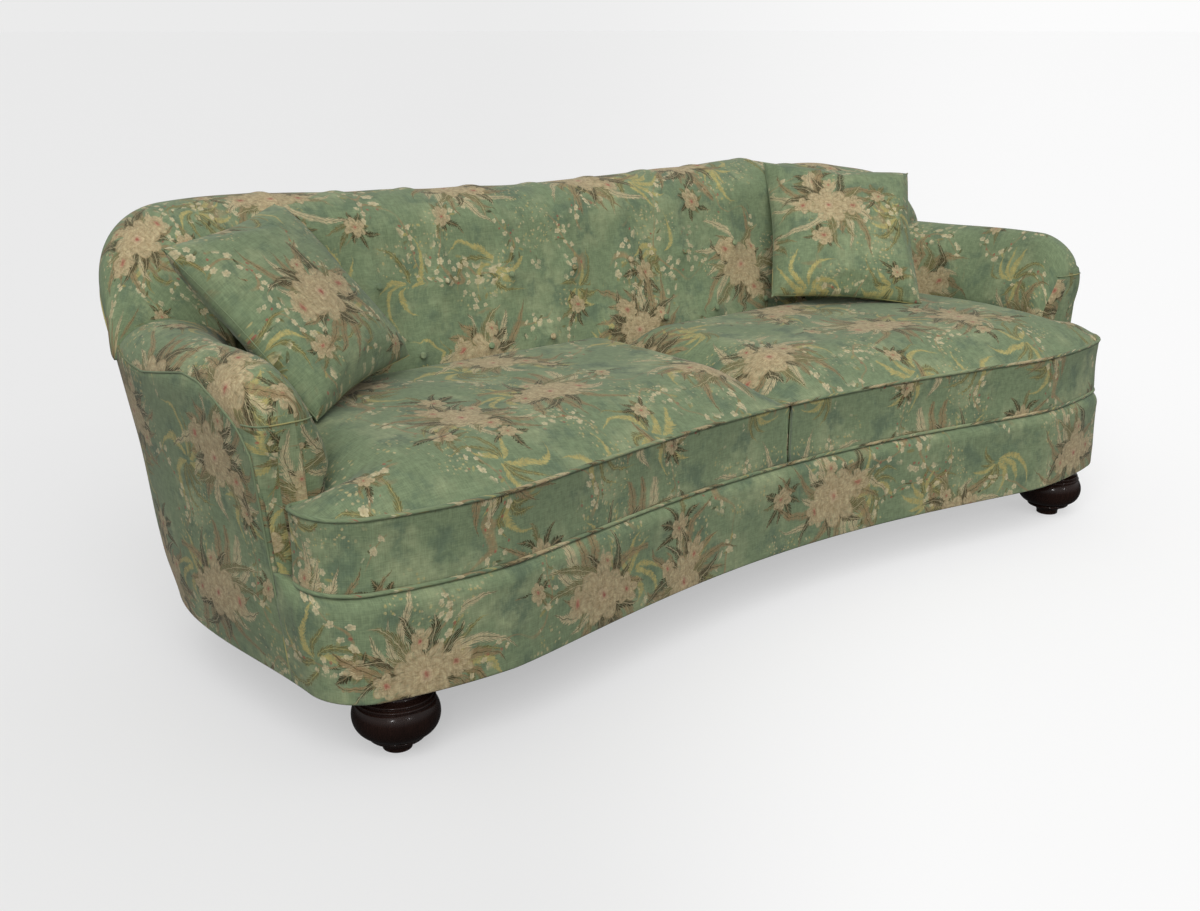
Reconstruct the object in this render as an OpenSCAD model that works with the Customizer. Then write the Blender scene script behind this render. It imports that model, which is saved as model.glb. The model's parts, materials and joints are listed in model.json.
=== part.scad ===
// Three-seat sofa with a rolled, tufted back that curves round into lower rolled arms.
// The front of the base and of the loose seat cushions is a serpentine: hollow in the
// middle and full at both ends. Millimetres, +Z up, the front faces -Y, and the origin
// is on the floor under the middle of the sofa.

/* [Overall] */
// Width across the hem where the sides are widest
hem_w = 2326; // [2000:2:2600]
// Depth from the front of the base to the rear of the top seam
depth = 1000; // [940:2:1100]
// Height of the back at its middle
back_h = 877; // [840:1:940]
// Height of the arm tops
arm_h = 704; // [690:1:740]
// How far the outside leans out for each millimetre of height
flare = 0.11; // [0.06:0.01:0.14]

/* [Plan] */
// How far the side draws in between its widest place and the front corner
side_taper = 20; // [8:0.5:30]
// Radius of the front corners of the base
base_corner_r = 114; // [90:1:120]
// How far the middle of the front is set back from its two lobes
front_hollow = 97; // [40:1:120]
// Distance of each lobe from the middle
lobe_x = 810; // [700:5:860]
// Radius of the front beyond each lobe
lobe_r = 1040; // [900:10:1600]
// Length of each rounded rear corner along the back
rear_corner_w = 340; // [300:5:380]
// Squareness of the rear corners, where 2 is an ellipse
corner_power = 2.3; // [2:0.1:2.6]
// How much more the rear corners lean out than the sides do
corner_flare = 0.06; // [0:0.005:0.07]

/* [Base] */
// Height of the hem above the floor
hem_z = 131; // [115:1:150]
// Height of the top of the seat rails
rail_top = 290; // [275:1:300]
// Height of the deck that carries the seat cushions
deck_z = 322; // [312:1:334]
// Thickness of the frame timber
timber_t = 28; // [22:1:30]
// Thickness of the padded cover outside the frame
cover_t = 14; // [10:1:18]
// How far the padded front edge reaches in over the front rail
edge_w = 60; // [54:1:80]
// Width of a post
post_w = 60; // [40:1:80]
// Length of a corner block
block_w = 124; // [110:1:140]
// Height of a corner block
block_h = 62; // [40:1:80]
// Thickness of the cloth under the base
dust_t = 2; // [1:0.5:3]

/* [Springs] */
// Thickness of the spring wire
wire_t = 4; // [3:0.5:5]
// Width of a spring's loops
loop_w = 52; // [40:1:60]
// Length of one loop of a spring
loop_pitch = 36; // [24:1:44]
// Number of springs on each side of the centre rail
springs_side = 4; // [3:1:5]
// Width of a spring clip
clip_w = 20; // [16:1:26]
// Width of a back strap
strap_w = 50; // [30:1:60]
// Thickness of a back strap
strap_t = 1.6; // [1:0.1:2]

/* [Arms] */
// Width between the arms at the deck
inner_w = 2092; // [2040:2:2110]
// How far the inner face of an arm leans out for each millimetre of height
arm_rake = 0.03; // [0:0.01:0.05]
// Height of the arm's roll
roll_h = 84; // [70:1:100]
// How far the outer seam at the arm's front is set back from the front of the base
arm_setback = 202; // [196:1:210]
// How far the arm's roll stands out in front of that seam
roll_front = 44; // [30:1:56]
// How much the arm's top comes down towards the back
arm_drop = 44; // [0:1:50]
// How far the arm's front panel stands out below the seat cushion's top
front_bulge = 3; // [2:1:6]

/* [Back] */
// Thickness of the back at the deck
back_t = 266; // [240:1:280]
// How far the back's face leans back for each millimetre of height
back_rake = 0.212; // [0.16:0.004:0.24]
// Height of the rounded inner half of the top
crest_in = 88; // [70:1:100]
// Height of the rounded outer half of the top
crest_out = 56; // [40:1:70]
// How much the top rises from the middle towards the corners
crest_rise = 18; // [0:1:24]
// Angle round the rear corner at which the back comes down to the arm
wing_end = 28; // [26:1:36]
// Share of the left corner over which the back keeps its height
shoulder_left = 0.5; // [0.05:0.05:0.6]
// Share of the right corner over which the back keeps its height
shoulder_right = 0.1; // [0.05:0.05:0.6]
// Distance between the tufts in a row
tuft_pitch = 178; // [160:2:190]
// Height of the lower row of tufts
tuft_low = 535; // [520:1:550]
// Height of the upper row of tufts
tuft_high = 685; // [670:1:700]
// Depth of a tuft
tuft_depth = 15; // [8:1:20]
// Depth of the pleats that run over the top
pleat_depth = 7; // [3:1:10]
// Diameter of a covered button
button_d = 22; // [16:1:26]

/* [Seat cushions] */
// Width of the two seat cushions together
seat_w = 2290; // [2240:2:2300]
// Radius of a seat cushion's outer front corner
seat_corner_r = 110; // [90:1:120]
// How far the cushions' front is set back from the base
seat_setback = 13; // [6:1:24]
// Height of the cushion's side
boxing_h = 137; // [110:1:150]
// Height of the crown above the top seam
crown_h = 76; // [50:1:85]
// How far the middle of the side is drawn in
boxing_in = 4; // [0:1:8]
// Length over which the crown rises from the front edge
crown_front = 190; // [150:5:220]
// Length over which the crown rises from the back edge
crown_back = 90; // [70:5:110]
// Length over which the crown rises from the side and from the gap between the cushions
crown_side = 120; // [100:5:140]
// Gap between the two cushions
split_gap = 3; // [2:0.5:6]
// Gap between a cushion and the arms and back
seat_gap = 3; // [2:0.5:5]
// Gap between the cushion's ear and the arm's front
ear_gap = 7; // [5:0.5:12]

/* [Scatter cushions] */
// Side of a scatter cushion
pillow_w = 395; // [380:5:400]
// Thickness of a scatter cushion
pillow_t = 140; // [120:5:150]
// How far its edges are drawn in
pillow_in = 18; // [8:1:26]
// How far the left scatter cushion leans back
lean_left = 40; // [39:1:41]
// How far the right scatter cushion leans back
lean_right = 36; // [35:1:37]
// How far the left one's top stands in from the arm
pillow_left_in = 58.7; // [55:0.1:70]
// How far the right one's top stands in from the arm
pillow_right_in = 238.5; // [230:0.1:260]
// How far the left one's top reaches behind the foot of the back
pillow_left_back = 90.3; // [80:0.1:91]
// How far the right one's top reaches behind the foot of the back
pillow_right_back = 97.4; // [85:0.1:98]

/* [Feet] */
// Largest radius of a turned foot
foot_r = 77; // [70:1:86]
// Radius of the pad on the floor
foot_pad_r = 27; // [22:1:34]
// How far the front feet are set in from the side
foot_front_side = 165; // [150:1:250]
// How far the front feet are set back from the front
foot_front_in = 101; // [95:1:120]
// How far the rear feet are set in from the side
foot_rear_side = 313; // [290:1:400]
// How far the rear feet are set in from the back of the hem
foot_rear_in = 106; // [98:1:130]
// Diameter of a foot's bolt
bolt_d = 8; // [6:1:10]
// Length of a foot's bolt
bolt_l = 90; // [60:1:100]

/* [Hidden] */

// Clearance between pieces that lie against each other
fit = 0.4;
// The hollow of the front follows this power of its distance from the lobe
hollow_power = 1.32;
half_w = hem_w / 2;
base_half = half_w - side_taper;
lobe_y = -depth / 2;
seam_y = lobe_y + arm_setback;
roll_z = arm_h - roll_h;
seam_z = back_h - crest_out;
hem_back = depth / 2 - flare * (seam_z - hem_z);
rear_x = half_w - rear_corner_w;
dust_gap = 1;
frame_bottom = hem_z + dust_t + dust_gap;
pad_z = deck_z + fit;
foot_front_x = half_w - foot_front_side;
foot_front_y = -lobe_y - foot_front_in;
foot_rear_x = half_w - foot_rear_side;
foot_rear_y = hem_back - foot_rear_in;
// Depths of the layers from the outside in: cover, timber, and what lies inside the timber
timber_out = cover_t + 2 * fit;
timber_in = timber_out + timber_t;
lining = timber_in + strap_t + 2 * fit;
spring_z = rail_top + fit;
deck_bottom = spring_z + wire_t + fit;
border_bottom = spring_z + wire_t + 4;
corner_angles = concat([0, wing_end / 3, wing_end * 2 / 3], steps(wing_end, 90, 8));

fabric = [0.45, 0.58, 0.48];
fabric_light = [0.52, 0.64, 0.53];
timber = [0.76, 0.62, 0.42];
dark_wood = [0.16, 0.09, 0.07];
steel = [0.62, 0.63, 0.65];
black_cloth = [0.12, 0.12, 0.13];
jute = [0.66, 0.55, 0.36];

function lerp(a, b, t) = a + (b - a) * t;
function clamp(v, low, high) = min(max(v, low), high);
function ease(t) = let (s = clamp(t, 0, 1)) s * s * (3 - 2 * s);
function rev(list) = [for (i = [len(list) - 1:-1:0]) list[i]];
function steps(a, b, n) = [for (i = [0:n]) lerp(a, b, i / n)];

// Plan. A station is a place on the hem: [x, y, normal x, normal y, lean]. The front
// curve is a power curve to the lobe, an arc of lobe_r beyond it and the corner's arc,
// so an offset curve only changes the two radii.
function corner_start(hw, rc, lr) = asin((hw - rc - lobe_x) / (lr - rc));
function corner_centre(hw, rc, ly, lr) =
    [hw - rc, ly + lr - (lr - rc) * cos(corner_start(hw, rc, lr))];
function hollow_y(x, ly) = ly + front_hollow * pow(max(1 - pow(x / lobe_x, 2), 0), hollow_power);
function hollow_slope(x) = -2 * x / pow(lobe_x, 2) * front_hollow * hollow_power
    * pow(max(1 - pow(x / lobe_x, 2), 0), hollow_power - 1);
function arc_station(centre, r, a, lean) =
    [centre[0] + r * sin(a), centre[1] - r * cos(a), sin(a), -cos(a), lean];
function front_stations(hw, rc, ly, lr, n, lean = 0, first = 0) =
    let (a0 = corner_start(hw, rc, lr), c = corner_centre(hw, rc, ly, lr)) concat(
        [for (x = steps(first, lobe_x, n)) let (s = hollow_slope(x), k = sqrt(1 + s * s))
            [x, hollow_y(x, ly), s / k, -1 / k, 0]],
        [for (a = [a0 / 2, a0]) arc_station([lobe_x, ly + lr], lr, a, 0)],
        [for (i = [1:5]) let (a = lerp(a0, 90, i / 5)) arc_station(c, rc, a, lean * pow(i / 5, 4))]
    );
corner_y = corner_centre(base_half, base_corner_r, lobe_y, lobe_r)[1];
function side_station(y) =
    [half_w - side_taper * (1 - ease((y - corner_y) / -corner_y)), y, 1, 0, flare];
function rear_station(a) = let (
        c = max(cos(a), 0), s = max(sin(a), 0),
        n = [pow(c, 2 - 2 / corner_power) / rear_corner_w, pow(s, 2 - 2 / corner_power) / hem_back],
        k = norm(n))
    [rear_x + rear_corner_w * pow(c, 2 / corner_power), hem_back * pow(s, 2 / corner_power),
        n[0] / k, n[1] / k, flare + corner_flare * pow(sin(2 * a), 2)];
function back_station(x) = [x, hem_back, 0, 1, flare];
// A point r outside the hem (inside where r is negative) at height z
function place(st, r, z) = let (d = r + st[4] * (z - hem_z)) [st[0] + st[2] * d, st[1] + st[3] * d, z];
function plan(st, r) = [st[0] + st[2] * r, st[1] + st[3] * r];

// How far round the rear corner a station is: 0 along the arm and 1 along the back
function backness(st) = st[3] < 0.001 ? 0 : st[3] > 0.9999 ? 1 : sin(corner_angle(st));
function corner_angle(st) = let (p = corner_power / 2)
    atan2(pow(st[1] / hem_back, p), pow(max(st[0] - rear_x, 0) / rear_corner_w, p));
function arm_depth(st) = st[0] + flare * (pad_z - hem_z) - inner_w / 2;
function inner_depth(st) = let (side_x = min(st[0], half_w))
    lerp(backness(st) > 0 ? half_w + flare * (pad_z - hem_z) - inner_w / 2 : arm_depth([side_x]),
        back_t, backness(st));
// Inner face of the arm, corner and back, as a distance from the outside
function inner_r(st, z) =
    -inner_depth(st) - st[4] * (z - hem_z) + flare * (pad_z - hem_z)
        + lerp(arm_rake, back_rake, backness(st)) * (z - pad_z);

// Height of the top along the back and round the corner down to the arm
function arm_top(st) = arm_h - arm_drop * ease((st[1] - seam_y / 2) / (130 - seam_y / 2));
function rise_share(st, shoulder) = let (
        w = (90 - corner_angle(st)) / (90 - wing_end),
        fall = clamp((w - shoulder) / (1 - shoulder), 0, 1))
    backness(st) == 1 ? 1 : sqrt(1 - fall * fall);
function crest(st, shoulder) = let (rise = crest_rise * pow(min(abs(st[0]) / rear_x, 1), 3))
    lerp(arm_top(st), back_h + rise, rise_share(st, shoulder));
function seam_height(st) = st[1] <= 0 ? roll_z
    : lerp(roll_z, seam_z, rise_share(st, min(shoulder_left, shoulder_right)));
function inner_roll(st, shoulder) = lerp(arm_top(st) - roll_z, crest_in, rise_share(st, shoulder));

// A closed skin through sections that each hold an outer and an inner line of points
module skin(sections, flip = false) {
    n = len(sections[0][0]);
    m = 2 * n;
    last = (len(sections) - 1) * m;
    sides = [for (i = [0:len(sections) - 2], j = [0:m - 1])
        let (a = i * m + j, b = i * m + (j + 1) % m) each [[a, b, b + m], [a, b + m, a + m]]];
    start = [for (j = [0:n - 2]) each [[j, m - 1 - j, m - 2 - j], [j, m - 2 - j, j + 1]]];
    end = [for (j = [0:n - 2]) each
        [[last + j, last + m - 2 - j, last + m - 1 - j], [last + j, last + j + 1, last + m - 2 - j]]];
    faces = concat(sides, start, end);
    polyhedron([for (s = sections) each concat(s[0], rev(s[1]))],
        flip ? [for (f = faces) rev(f)] : faces, convexity = 8);
}

module left() { mirror([1, 0, 0]) children(); }

// Feet
module foot(x, y) {
    top = frame_bottom;
    bun_z = top * 0.52;
    bun_half = top * 0.26;
    neck_r = foot_r * 0.62;
    bead = 5;
    profile = concat(
        [[0, 0], [foot_pad_r - 2, 0], [foot_pad_r, 2], [foot_pad_r + 1, 8],
            [foot_pad_r + 8, 15], [foot_r * 0.58, 22]],
        [for (a = [-90:30:90]) [foot_r * 0.6 + bead * cos(a), 26 + bead * sin(a)]],
        [for (a = [-70:10:70])
            [foot_r - foot_r * 0.36 * (1 - cos(a)), bun_z + bun_half * sin(a) / sin(70)]],
        [for (a = [-90:30:90]) [neck_r + bead * cos(a), bun_z + bun_half + 7 + bead * sin(a)]],
        [for (a = [-90:30:90]) [neck_r + 4 + bead * cos(a), bun_z + bun_half + 18 + bead * sin(a)]],
        [[neck_r, top], [0, top]]
    );
    color(dark_wood) translate([x, y, 0]) difference() {
        rotate_extrude($fn = 72) polygon(profile);
        translate([0, 0, top - bolt_l / 2 - fit]) cylinder(d = bolt_d + fit, h = bolt_l, $fn = 32);
    }
}

module at_feet() {
    for (s = [-1, 1]) {
        translate([s * foot_front_x, -foot_front_y, 0]) children();
        translate([s * foot_rear_x, foot_rear_y, 0]) children();
    }
}

module foot_bolts() {
    color(steel) at_feet() translate([0, 0, frame_bottom - bolt_l / 2])
        cylinder(d = bolt_d, h = bolt_l, $fn = 32);
}

// Seat frame. Each rail is the strip of the plan between two depths.
function base_front(r, n = 9) =
    front_stations(base_half - r, base_corner_r - r, lobe_y + r, lobe_r - r, n);
function points_of(list) = [for (s = list) [s[0], s[1]]];
function mirrored(list) = concat([for (p = rev(list)) [-p[0], p[1]]], list);
function side_line(r) = [for (y = steps(corner_y, 0, 4)) plan(side_station(y), -r)];
function corner_line(r) = [for (a = corner_angles) plan(rear_station(a), -r)];
rail_h = rail_top - frame_bottom;

module strip(outer, inner) {
    color(timber) translate([0, 0, frame_bottom]) linear_extrude(rail_h)
        polygon(concat(outer, rev(inner)));
}

module front_rail() {
    strip(mirrored(points_of(base_front(timber_out))), mirrored(points_of(base_front(timber_in))));
}

module side_rail() {
    gap = [0, fit];
    outer = side_line(timber_out);
    inner = side_line(timber_in);
    strip(concat([outer[0] + gap], [for (i = [1:3]) outer[i]], [outer[4] - gap]),
        concat([inner[0] + gap], [for (i = [1:3]) inner[i]], [inner[4] - gap]));
}

module corner_rail() { strip(corner_line(timber_out), corner_line(timber_in)); }

module back_rail() {
    x = rear_x - fit;
    color(timber) translate([-x, hem_back - timber_in, frame_bottom]) cube([2 * x, timber_t, rail_h]);
}

module centre_rail() {
    front = hollow_y(0, lobe_y) + timber_in + fit;
    color(timber) translate([-timber_t / 2, front, frame_bottom])
        cube([timber_t, hem_back - timber_in - fit - front, rail_h]);
}

// The region inside the seat rails
module inside_rails(gap) {
    half = concat(points_of(base_front(timber_in + gap)), side_line(timber_in + gap),
        corner_line(timber_in + gap));
    polygon(mirrored(half));
}

module corner_blocks() {
    color(timber) translate([0, 0, frame_bottom]) difference() {
        linear_extrude(block_h) intersection() {
            inside_rails(fit);
            at_feet() square(block_w, center = true);
        }
        at_feet() translate([0, 0, -1]) cylinder(d = bolt_d + fit, h = block_h + 2, $fn = 32);
    }
}

// A board that leans with the outside, at a station, w wide along the hem
function lean_at(st, r, z) = r + st[4] * (z - hem_z);
module leaning_board(st, w, z0, z1, r0 = -timber_in, r1 = -timber_out) {
    outline = [[lean_at(st, r0, z0), z0], [lean_at(st, r1, z0), z0],
        [lean_at(st, r1, z1), z1], [lean_at(st, r0, z1), z1]];
    translate([st[0], st[1], 0]) rotate([0, 0, atan2(st[3], st[2])])
        translate([0, w / 2, 0]) rotate([90, 0, 0]) linear_extrude(w) polygon(outline);
}

arm_front_back = seam_y + 24;
arm_rail_h = 60;
arm_rail_end = 0;
module arm_post(y) {
    color(timber) leaning_board(side_station(y), post_w, rail_top, roll_z - arm_rail_h,
        -timber_in, -timber_out - 2);
}
module arm_post_front() { arm_post(arm_front_back + fit + post_w / 2); }
module arm_post_rear() { arm_post(arm_rail_end - post_w / 2); }
module arm_rail() {
    zs = [roll_z - arm_rail_h, roll_z];
    color(timber) skin([for (y = steps(arm_front_back + fit, arm_rail_end, 3)) let (st = side_station(y))
        [[for (z = zs) place(st, -timber_out, z)], [for (z = zs) place(st, -timber_in, z)]]]);
}
module wing_post() {
    st = rear_station(wing_end + 22);
    color(timber) leaning_board(st, post_w, rail_top, seam_height(st) - 2 * cover_t,
        -timber_in, -timber_out - 6);
}

top_rail_h = 72;
outer_post_x = rear_x - post_w / 2 - 12;
inner_post_x = outer_post_x / 3;
module back_post(x) {
    color(timber) leaning_board(back_station(x), post_w, rail_top, seam_z - top_rail_h);
}
module back_top_rail() {
    color(timber) leaning_board(back_station(0), 2 * rear_x - 2 * fit, seam_z - top_rail_h, seam_z);
}

module back_straps() {
    low = deck_z + strap_w;
    high = seam_z - top_rail_h;
    r = -timber_in - fit;
    color(jute) for (z = steps(low, high - 2 * strap_w, 3))
        leaning_board(back_station(0), 2 * outer_post_x + post_w, z, z + strap_w, r - strap_t, r);
}

// Serpentine springs run from the front rail to the back rail
spring_back = hem_back - timber_in + clip_w / 2;
spring_inset = (rear_x - timber_t) / (springs_side + 0.5);
spring_xs = [for (s = [-1, 1], i = [0:springs_side - 1]) s * (timber_t / 2 + spring_inset * (i + 0.6))];
function spring_front(x) = hollow_y(abs(x), lobe_y) + timber_in - clip_w / 2;
module spring(x) {
    front = spring_front(x);
    count = floor((spring_back - front) / loop_pitch);
    pitch = (spring_back - front) / count;
    translate([x, front, spring_z]) linear_extrude(wire_t) {
        for (i = [0:count - 1]) {
            y = i * pitch;
            translate([-loop_w / 2, y]) square([loop_w, wire_t]);
            if (i < count - 1)
                translate([i % 2 == 0 ? loop_w / 2 - wire_t : -loop_w / 2, y])
                    square([wire_t, pitch + wire_t]);
        }
    }
}
module seat_springs() { color(steel) for (x = spring_xs) spring(x); }

// Each clip is a small block that closes over a spring's end bar and stands on the rail
module clip(x, y) {
    wall = 2;
    translate([x - clip_w / 2, y - wall, rail_top]) difference() {
        cube([clip_w, wire_t + 2 * wall, wire_t + 2 * fit + wall]);
        translate([-1, wall - fit, -1]) cube([clip_w + 2, wire_t + 2 * fit, wire_t + 2 * fit + 1]);
    }
}
module spring_clips() {
    color(steel) for (x = spring_xs) {
        front = spring_front(x);
        count = floor((spring_back - front) / loop_pitch);
        clip(x, front);
        clip(x, front + (spring_back - front) / count * (count - 1));
    }
}

// The deck has a slot over each clip
deck_clip_gap = 3;
module deck_pad() {
    half = concat(points_of(base_front(edge_w + 2)), side_line(timber_in + fit),
        corner_line(timber_in + fit));
    color(black_cloth) difference() {
        translate([0, 0, deck_bottom]) linear_extrude(deck_z - deck_bottom) polygon(mirrored(half));
        for (x = spring_xs, y = [spring_front(x), spring_back - loop_pitch])
            translate([x - clip_w / 2 - deck_clip_gap, y - loop_pitch, deck_bottom - 1])
                cube([clip_w + 2 * deck_clip_gap, 2 * loop_pitch + wire_t, deck_clip_gap + 1]);
    }
}

module dust_cover() {
    half = concat(points_of(base_front(cover_t + 1)), side_line(cover_t + 1), corner_line(cover_t + 1));
    color(black_cloth) translate([0, 0, frame_bottom - fit - dust_t]) difference() {
        linear_extrude(dust_t) polygon(mirrored(half));
        at_feet() translate([0, 0, -1]) cylinder(r = foot_r * 0.62 + 12, h = dust_t + 2, $fn = 48);
    }
}

// Outside covers
hem_r = 9;
function hem_line(top) = [[-4, hem_z], [-1, hem_z + hem_r], [0, hem_z + 3 * hem_r],
    [0, lerp(hem_z + 3 * hem_r, top, 0.5)], [0, top]];
function panel_section(st) = let (top = seam_height(st)) [
    [for (p = hem_line(top)) place(st, p[0], p[1])],
    [for (p = hem_line(top)) place(st, -cover_t, p[1])]];

module outside_arm() {
    stations = concat([for (y = steps(seam_y, 0, 4)) side_station(y)],
        [for (a = corner_angles) if (a > 0) rear_station(a)]);
    color(fabric) skin([for (st = stations) panel_section(st)]);
}

module outside_back() {
    xs = steps(-rear_x + fit, rear_x - fit, 8);
    color(fabric) skin([for (x = xs) let (st = back_station(x), low = hem_line(seam_z)) [
        [for (p = low) place(st, p[0], p[1])], [for (p = low) place(st, -cover_t, p[1])]]],
        flip = true);
}

// The front border wraps over the front rail with a padded edge
edge_r = 22;
function border_section(st) = let (top = deck_z) [
    [for (p = [[-4, hem_z], [-1, hem_z + hem_r], [0, hem_z + 3 * hem_r], [0, deck_z - 2 * edge_r],
        [-3, top - edge_r], [-9, top - edge_r / 2.6], [-edge_r, top], [-edge_w, top]])
        place(st, p[0], p[1])],
    [for (p = [[-cover_t, hem_z], [-cover_t, hem_z + hem_r], [-cover_t, hem_z + 3 * hem_r],
        [-cover_t, rail_top - edge_r], [-cover_t, rail_top - 4], [-cover_t, border_bottom],
        [-cover_t - 10, border_bottom], [-edge_w, border_bottom]]) place(st, p[0], p[1])]];
module front_border() {
    half = concat(front_stations(base_half, base_corner_r, lobe_y, lobe_r, 9, flare),
        [for (y = steps(corner_y, seam_y - fit, 2)) if (y > corner_y) side_station(y)]);
    other = [for (st = rev(half)) if (st[0] > 0) [-st[0], st[1], -st[2], st[3], st[4]]];
    color(fabric) skin([for (st = concat(other, half)) border_section(st)]);
}

// Arms
function arm_inner_x(z) = inner_w / 2 + arm_rake * (z - pad_z);
function arm_outer_x(z) = place(side_station(seam_y), -timber_out, z)[0];
front_low = seam_y - front_bulge;
front_high = seam_y - roll_front + 6;
seat_top = deck_z + boxing_h;
module arm_front() {
    zs = concat([pad_z], [for (k = [0, 0.34, 0.74, 1]) lerp(seat_top - 8, roll_z, k)]);
    color(fabric_light) skin([for (z = zs) let (
            y = lerp(front_low, front_high, ease((z - seat_top + 8) / (roll_z - seat_top))),
            a = arm_inner_x(z), b = arm_outer_x(z), r = 0.8 * (arm_front_back - 4 - y)) [
        [[a, arm_front_back - 4, z], [a, y + r, z], [a + r * 0.3, y + r * 0.3, z], [a + r, y, z],
            [lerp(a, b, 0.45), y, z], [lerp(a, b, 0.75), lerp(y, seam_y, 0.45), z], [b, seam_y, z]],
        [for (k = [0, 0.1, 0.25, 0.45, 0.65, 0.85, 1]) [lerp(a, b, k), arm_front_back, z]]]],
        flip = true);
}

arm_stations = concat([for (a = steps(wing_end - 0.12, 0, 4)) rear_station(a)],
    [for (y = steps(0, arm_front_back + fit, 4)) if (y < 0) side_station(y)]);
module arm_inside() {
    color(fabric_light) skin([for (st = arm_stations) [
        [for (z = [pad_z, roll_z]) place(st, inner_r(st, z), z)],
        [for (z = [pad_z, roll_z]) place(st, -lining, z)]]]);
}

// A roll over the top: a quarter ellipse up from the inner face and another one down outside
function roll_line(r1, top, h_in, h_out, n, first = 0) = let (mid = r1 * 0.5) concat(
    [for (a = steps(first, 90, n)) [mid + (r1 - mid) * cos(a), top - h_in + h_in * sin(a)]],
    [for (a = steps(90, 8, n)) if (a < 90) [mid - mid * cos(a), top - h_out + h_out * sin(a)]]);
dome_back = 90;
dome_l = dome_back + roll_front;
function dome(y) = clamp((seam_y + dome_back - y) / dome_l, 0, 0.985);
function arm_roll_section(st, q) = let (
        base = roll_z + fit,
        top = arm_top(st),
        line = roll_line(inner_r(st, roll_z), top, top - base, top - base, 5, 4),
        mid = inner_r(st, roll_z) * 0.5,
        kr = pow(1 - pow(q, 3), 1 / 3),
        kz = pow(1 - pow(q, 1.7), 1 / 1.7))
    [[for (p = line) place(st, mid + (p[0] - mid) * kr, base + (p[1] - base) * kz)],
        [for (k = steps(0, 1, len(line) - 1))
            place(st, mid + (lerp(line[0][0], line[len(line) - 1][0], k) - mid) * kr, base)]];
module arm_roll() {
    ys = [for (q = [0, 0.3, 0.55, 0.74, 0.88, 0.96, 0.985]) seam_y + dome_back - q * dome_l];
    stations = concat([for (a = steps(wing_end - 0.12, 0, 4)) rear_station(a)],
        [side_station(-80), side_station(-150)], [for (y = ys) side_station(y)]);
    color(fabric) skin([for (st = stations) arm_roll_section(st, st[1] < 0 ? dome(st[1]) : 0)]);
}

// Back and wings. The face has dents at the tufts and shallow pleats over the top.
function bump(d, width) = exp(-pow(d / width, 2));
function nearest(x, offset) = x - offset - round((x - offset) / tuft_pitch) * tuft_pitch;
function tuft(x, z) = let (low = nearest(x, 0), high = nearest(x, tuft_pitch / 2))
    tuft_depth * (bump(low, 34) * bump(z - tuft_low, 36) + bump(high, 34) * bump(z - tuft_high, 36))
    + pleat_depth * bump(low, 30) * ease((z - tuft_high - 40) / 70);
back_rows = [pad_z, seat_top, (seat_top + tuft_low) / 2, tuft_low, lerp(tuft_low, tuft_high, 0.25),
    lerp(tuft_low, tuft_high, 0.5), lerp(tuft_low, tuft_high, 0.75), tuft_high, tuft_high + 50];
function face_z(straight, z) = lerp(pad_z, straight, (z - pad_z) / (back_h - crest_in - pad_z));
function pad_section(st, rows, n, shoulder = 0) = let (
        top = crest(st, shoulder),
        h_in = inner_roll(st, shoulder),
        dented = shoulder == 0,
        edge = seam_height(st) + 3 * fit,
        straight = top - h_in,
        line = concat([for (z = rows) let (h = face_z(straight, z)) [inner_r(st, h), h]],
            roll_line(inner_r(st, straight), top, h_in, top - edge, n)),
        dent = [for (i = [0:len(line) - 1])
            dented ? tuft(st[0], i < len(rows) ? rows[i] : line[i][1]) : 0],
        count = len(line),
        turn = len([for (p = line) if (p[0] < -lining) 1]) - 1)
    [[for (i = [0:count - 1]) let (p = line[i], crown = p[1] > straight + h_in * 0.8)
            place(st, crown ? p[0] : p[0] + dent[i], crown ? p[1] - dent[i] : p[1])],
        [for (i = [0:count - 1]) i <= turn
            ? place(st, -lining, lerp(pad_z, edge, i / turn))
            : place(st, lerp(-lining, -1, (i - turn) / (count - 1 - turn)), edge)]];

module back_pad() {
    limit = rear_x - fit;
    count = floor(limit / (tuft_pitch / 4));
    inner = [for (i = [-count:count]) i * tuft_pitch / 4];
    xs = concat([-limit], [for (x = inner) if (abs(x) < limit - 10) x], [limit]);
    color(fabric) skin([for (x = xs) pad_section(back_station(x), back_rows, 3)]);
}

module wing_pad(shoulder) {
    rows = [pad_z, seat_top, tuft_low, tuft_high - 30];
    stations = [for (a = steps(90, wing_end, 8)) rear_station(a)];
    color(fabric) skin([for (st = stations) pad_section(st, rows, 4, shoulder)]);
}

module back_buttons() {
    lean = atan(back_rake);
    rise = 4.4;
    thick = 5;
    low = [for (i = [-4:4]) [i * tuft_pitch, tuft_low]];
    high = [for (i = [-4:3]) [(i + 0.5) * tuft_pitch, tuft_high]];
    color(fabric_light) for (p = concat(low, high)) {
        st = back_station(p[0]);
        z = face_z(crest(st, 0) - crest_in, p[1]);
        at = place(st, inner_r(st, z) + tuft_depth, z);
        translate(at) rotate([90 - lean, 0, 0]) translate([0, 0, rise]) rotate_extrude($fn = 36)
            polygon([[0, 0], [button_d / 2, 0], [button_d / 2, thick * 0.4],
                [button_d * 0.42, thick * 0.75], [button_d * 0.25, thick * 0.95], [0, thick]]);
    }
}

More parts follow.
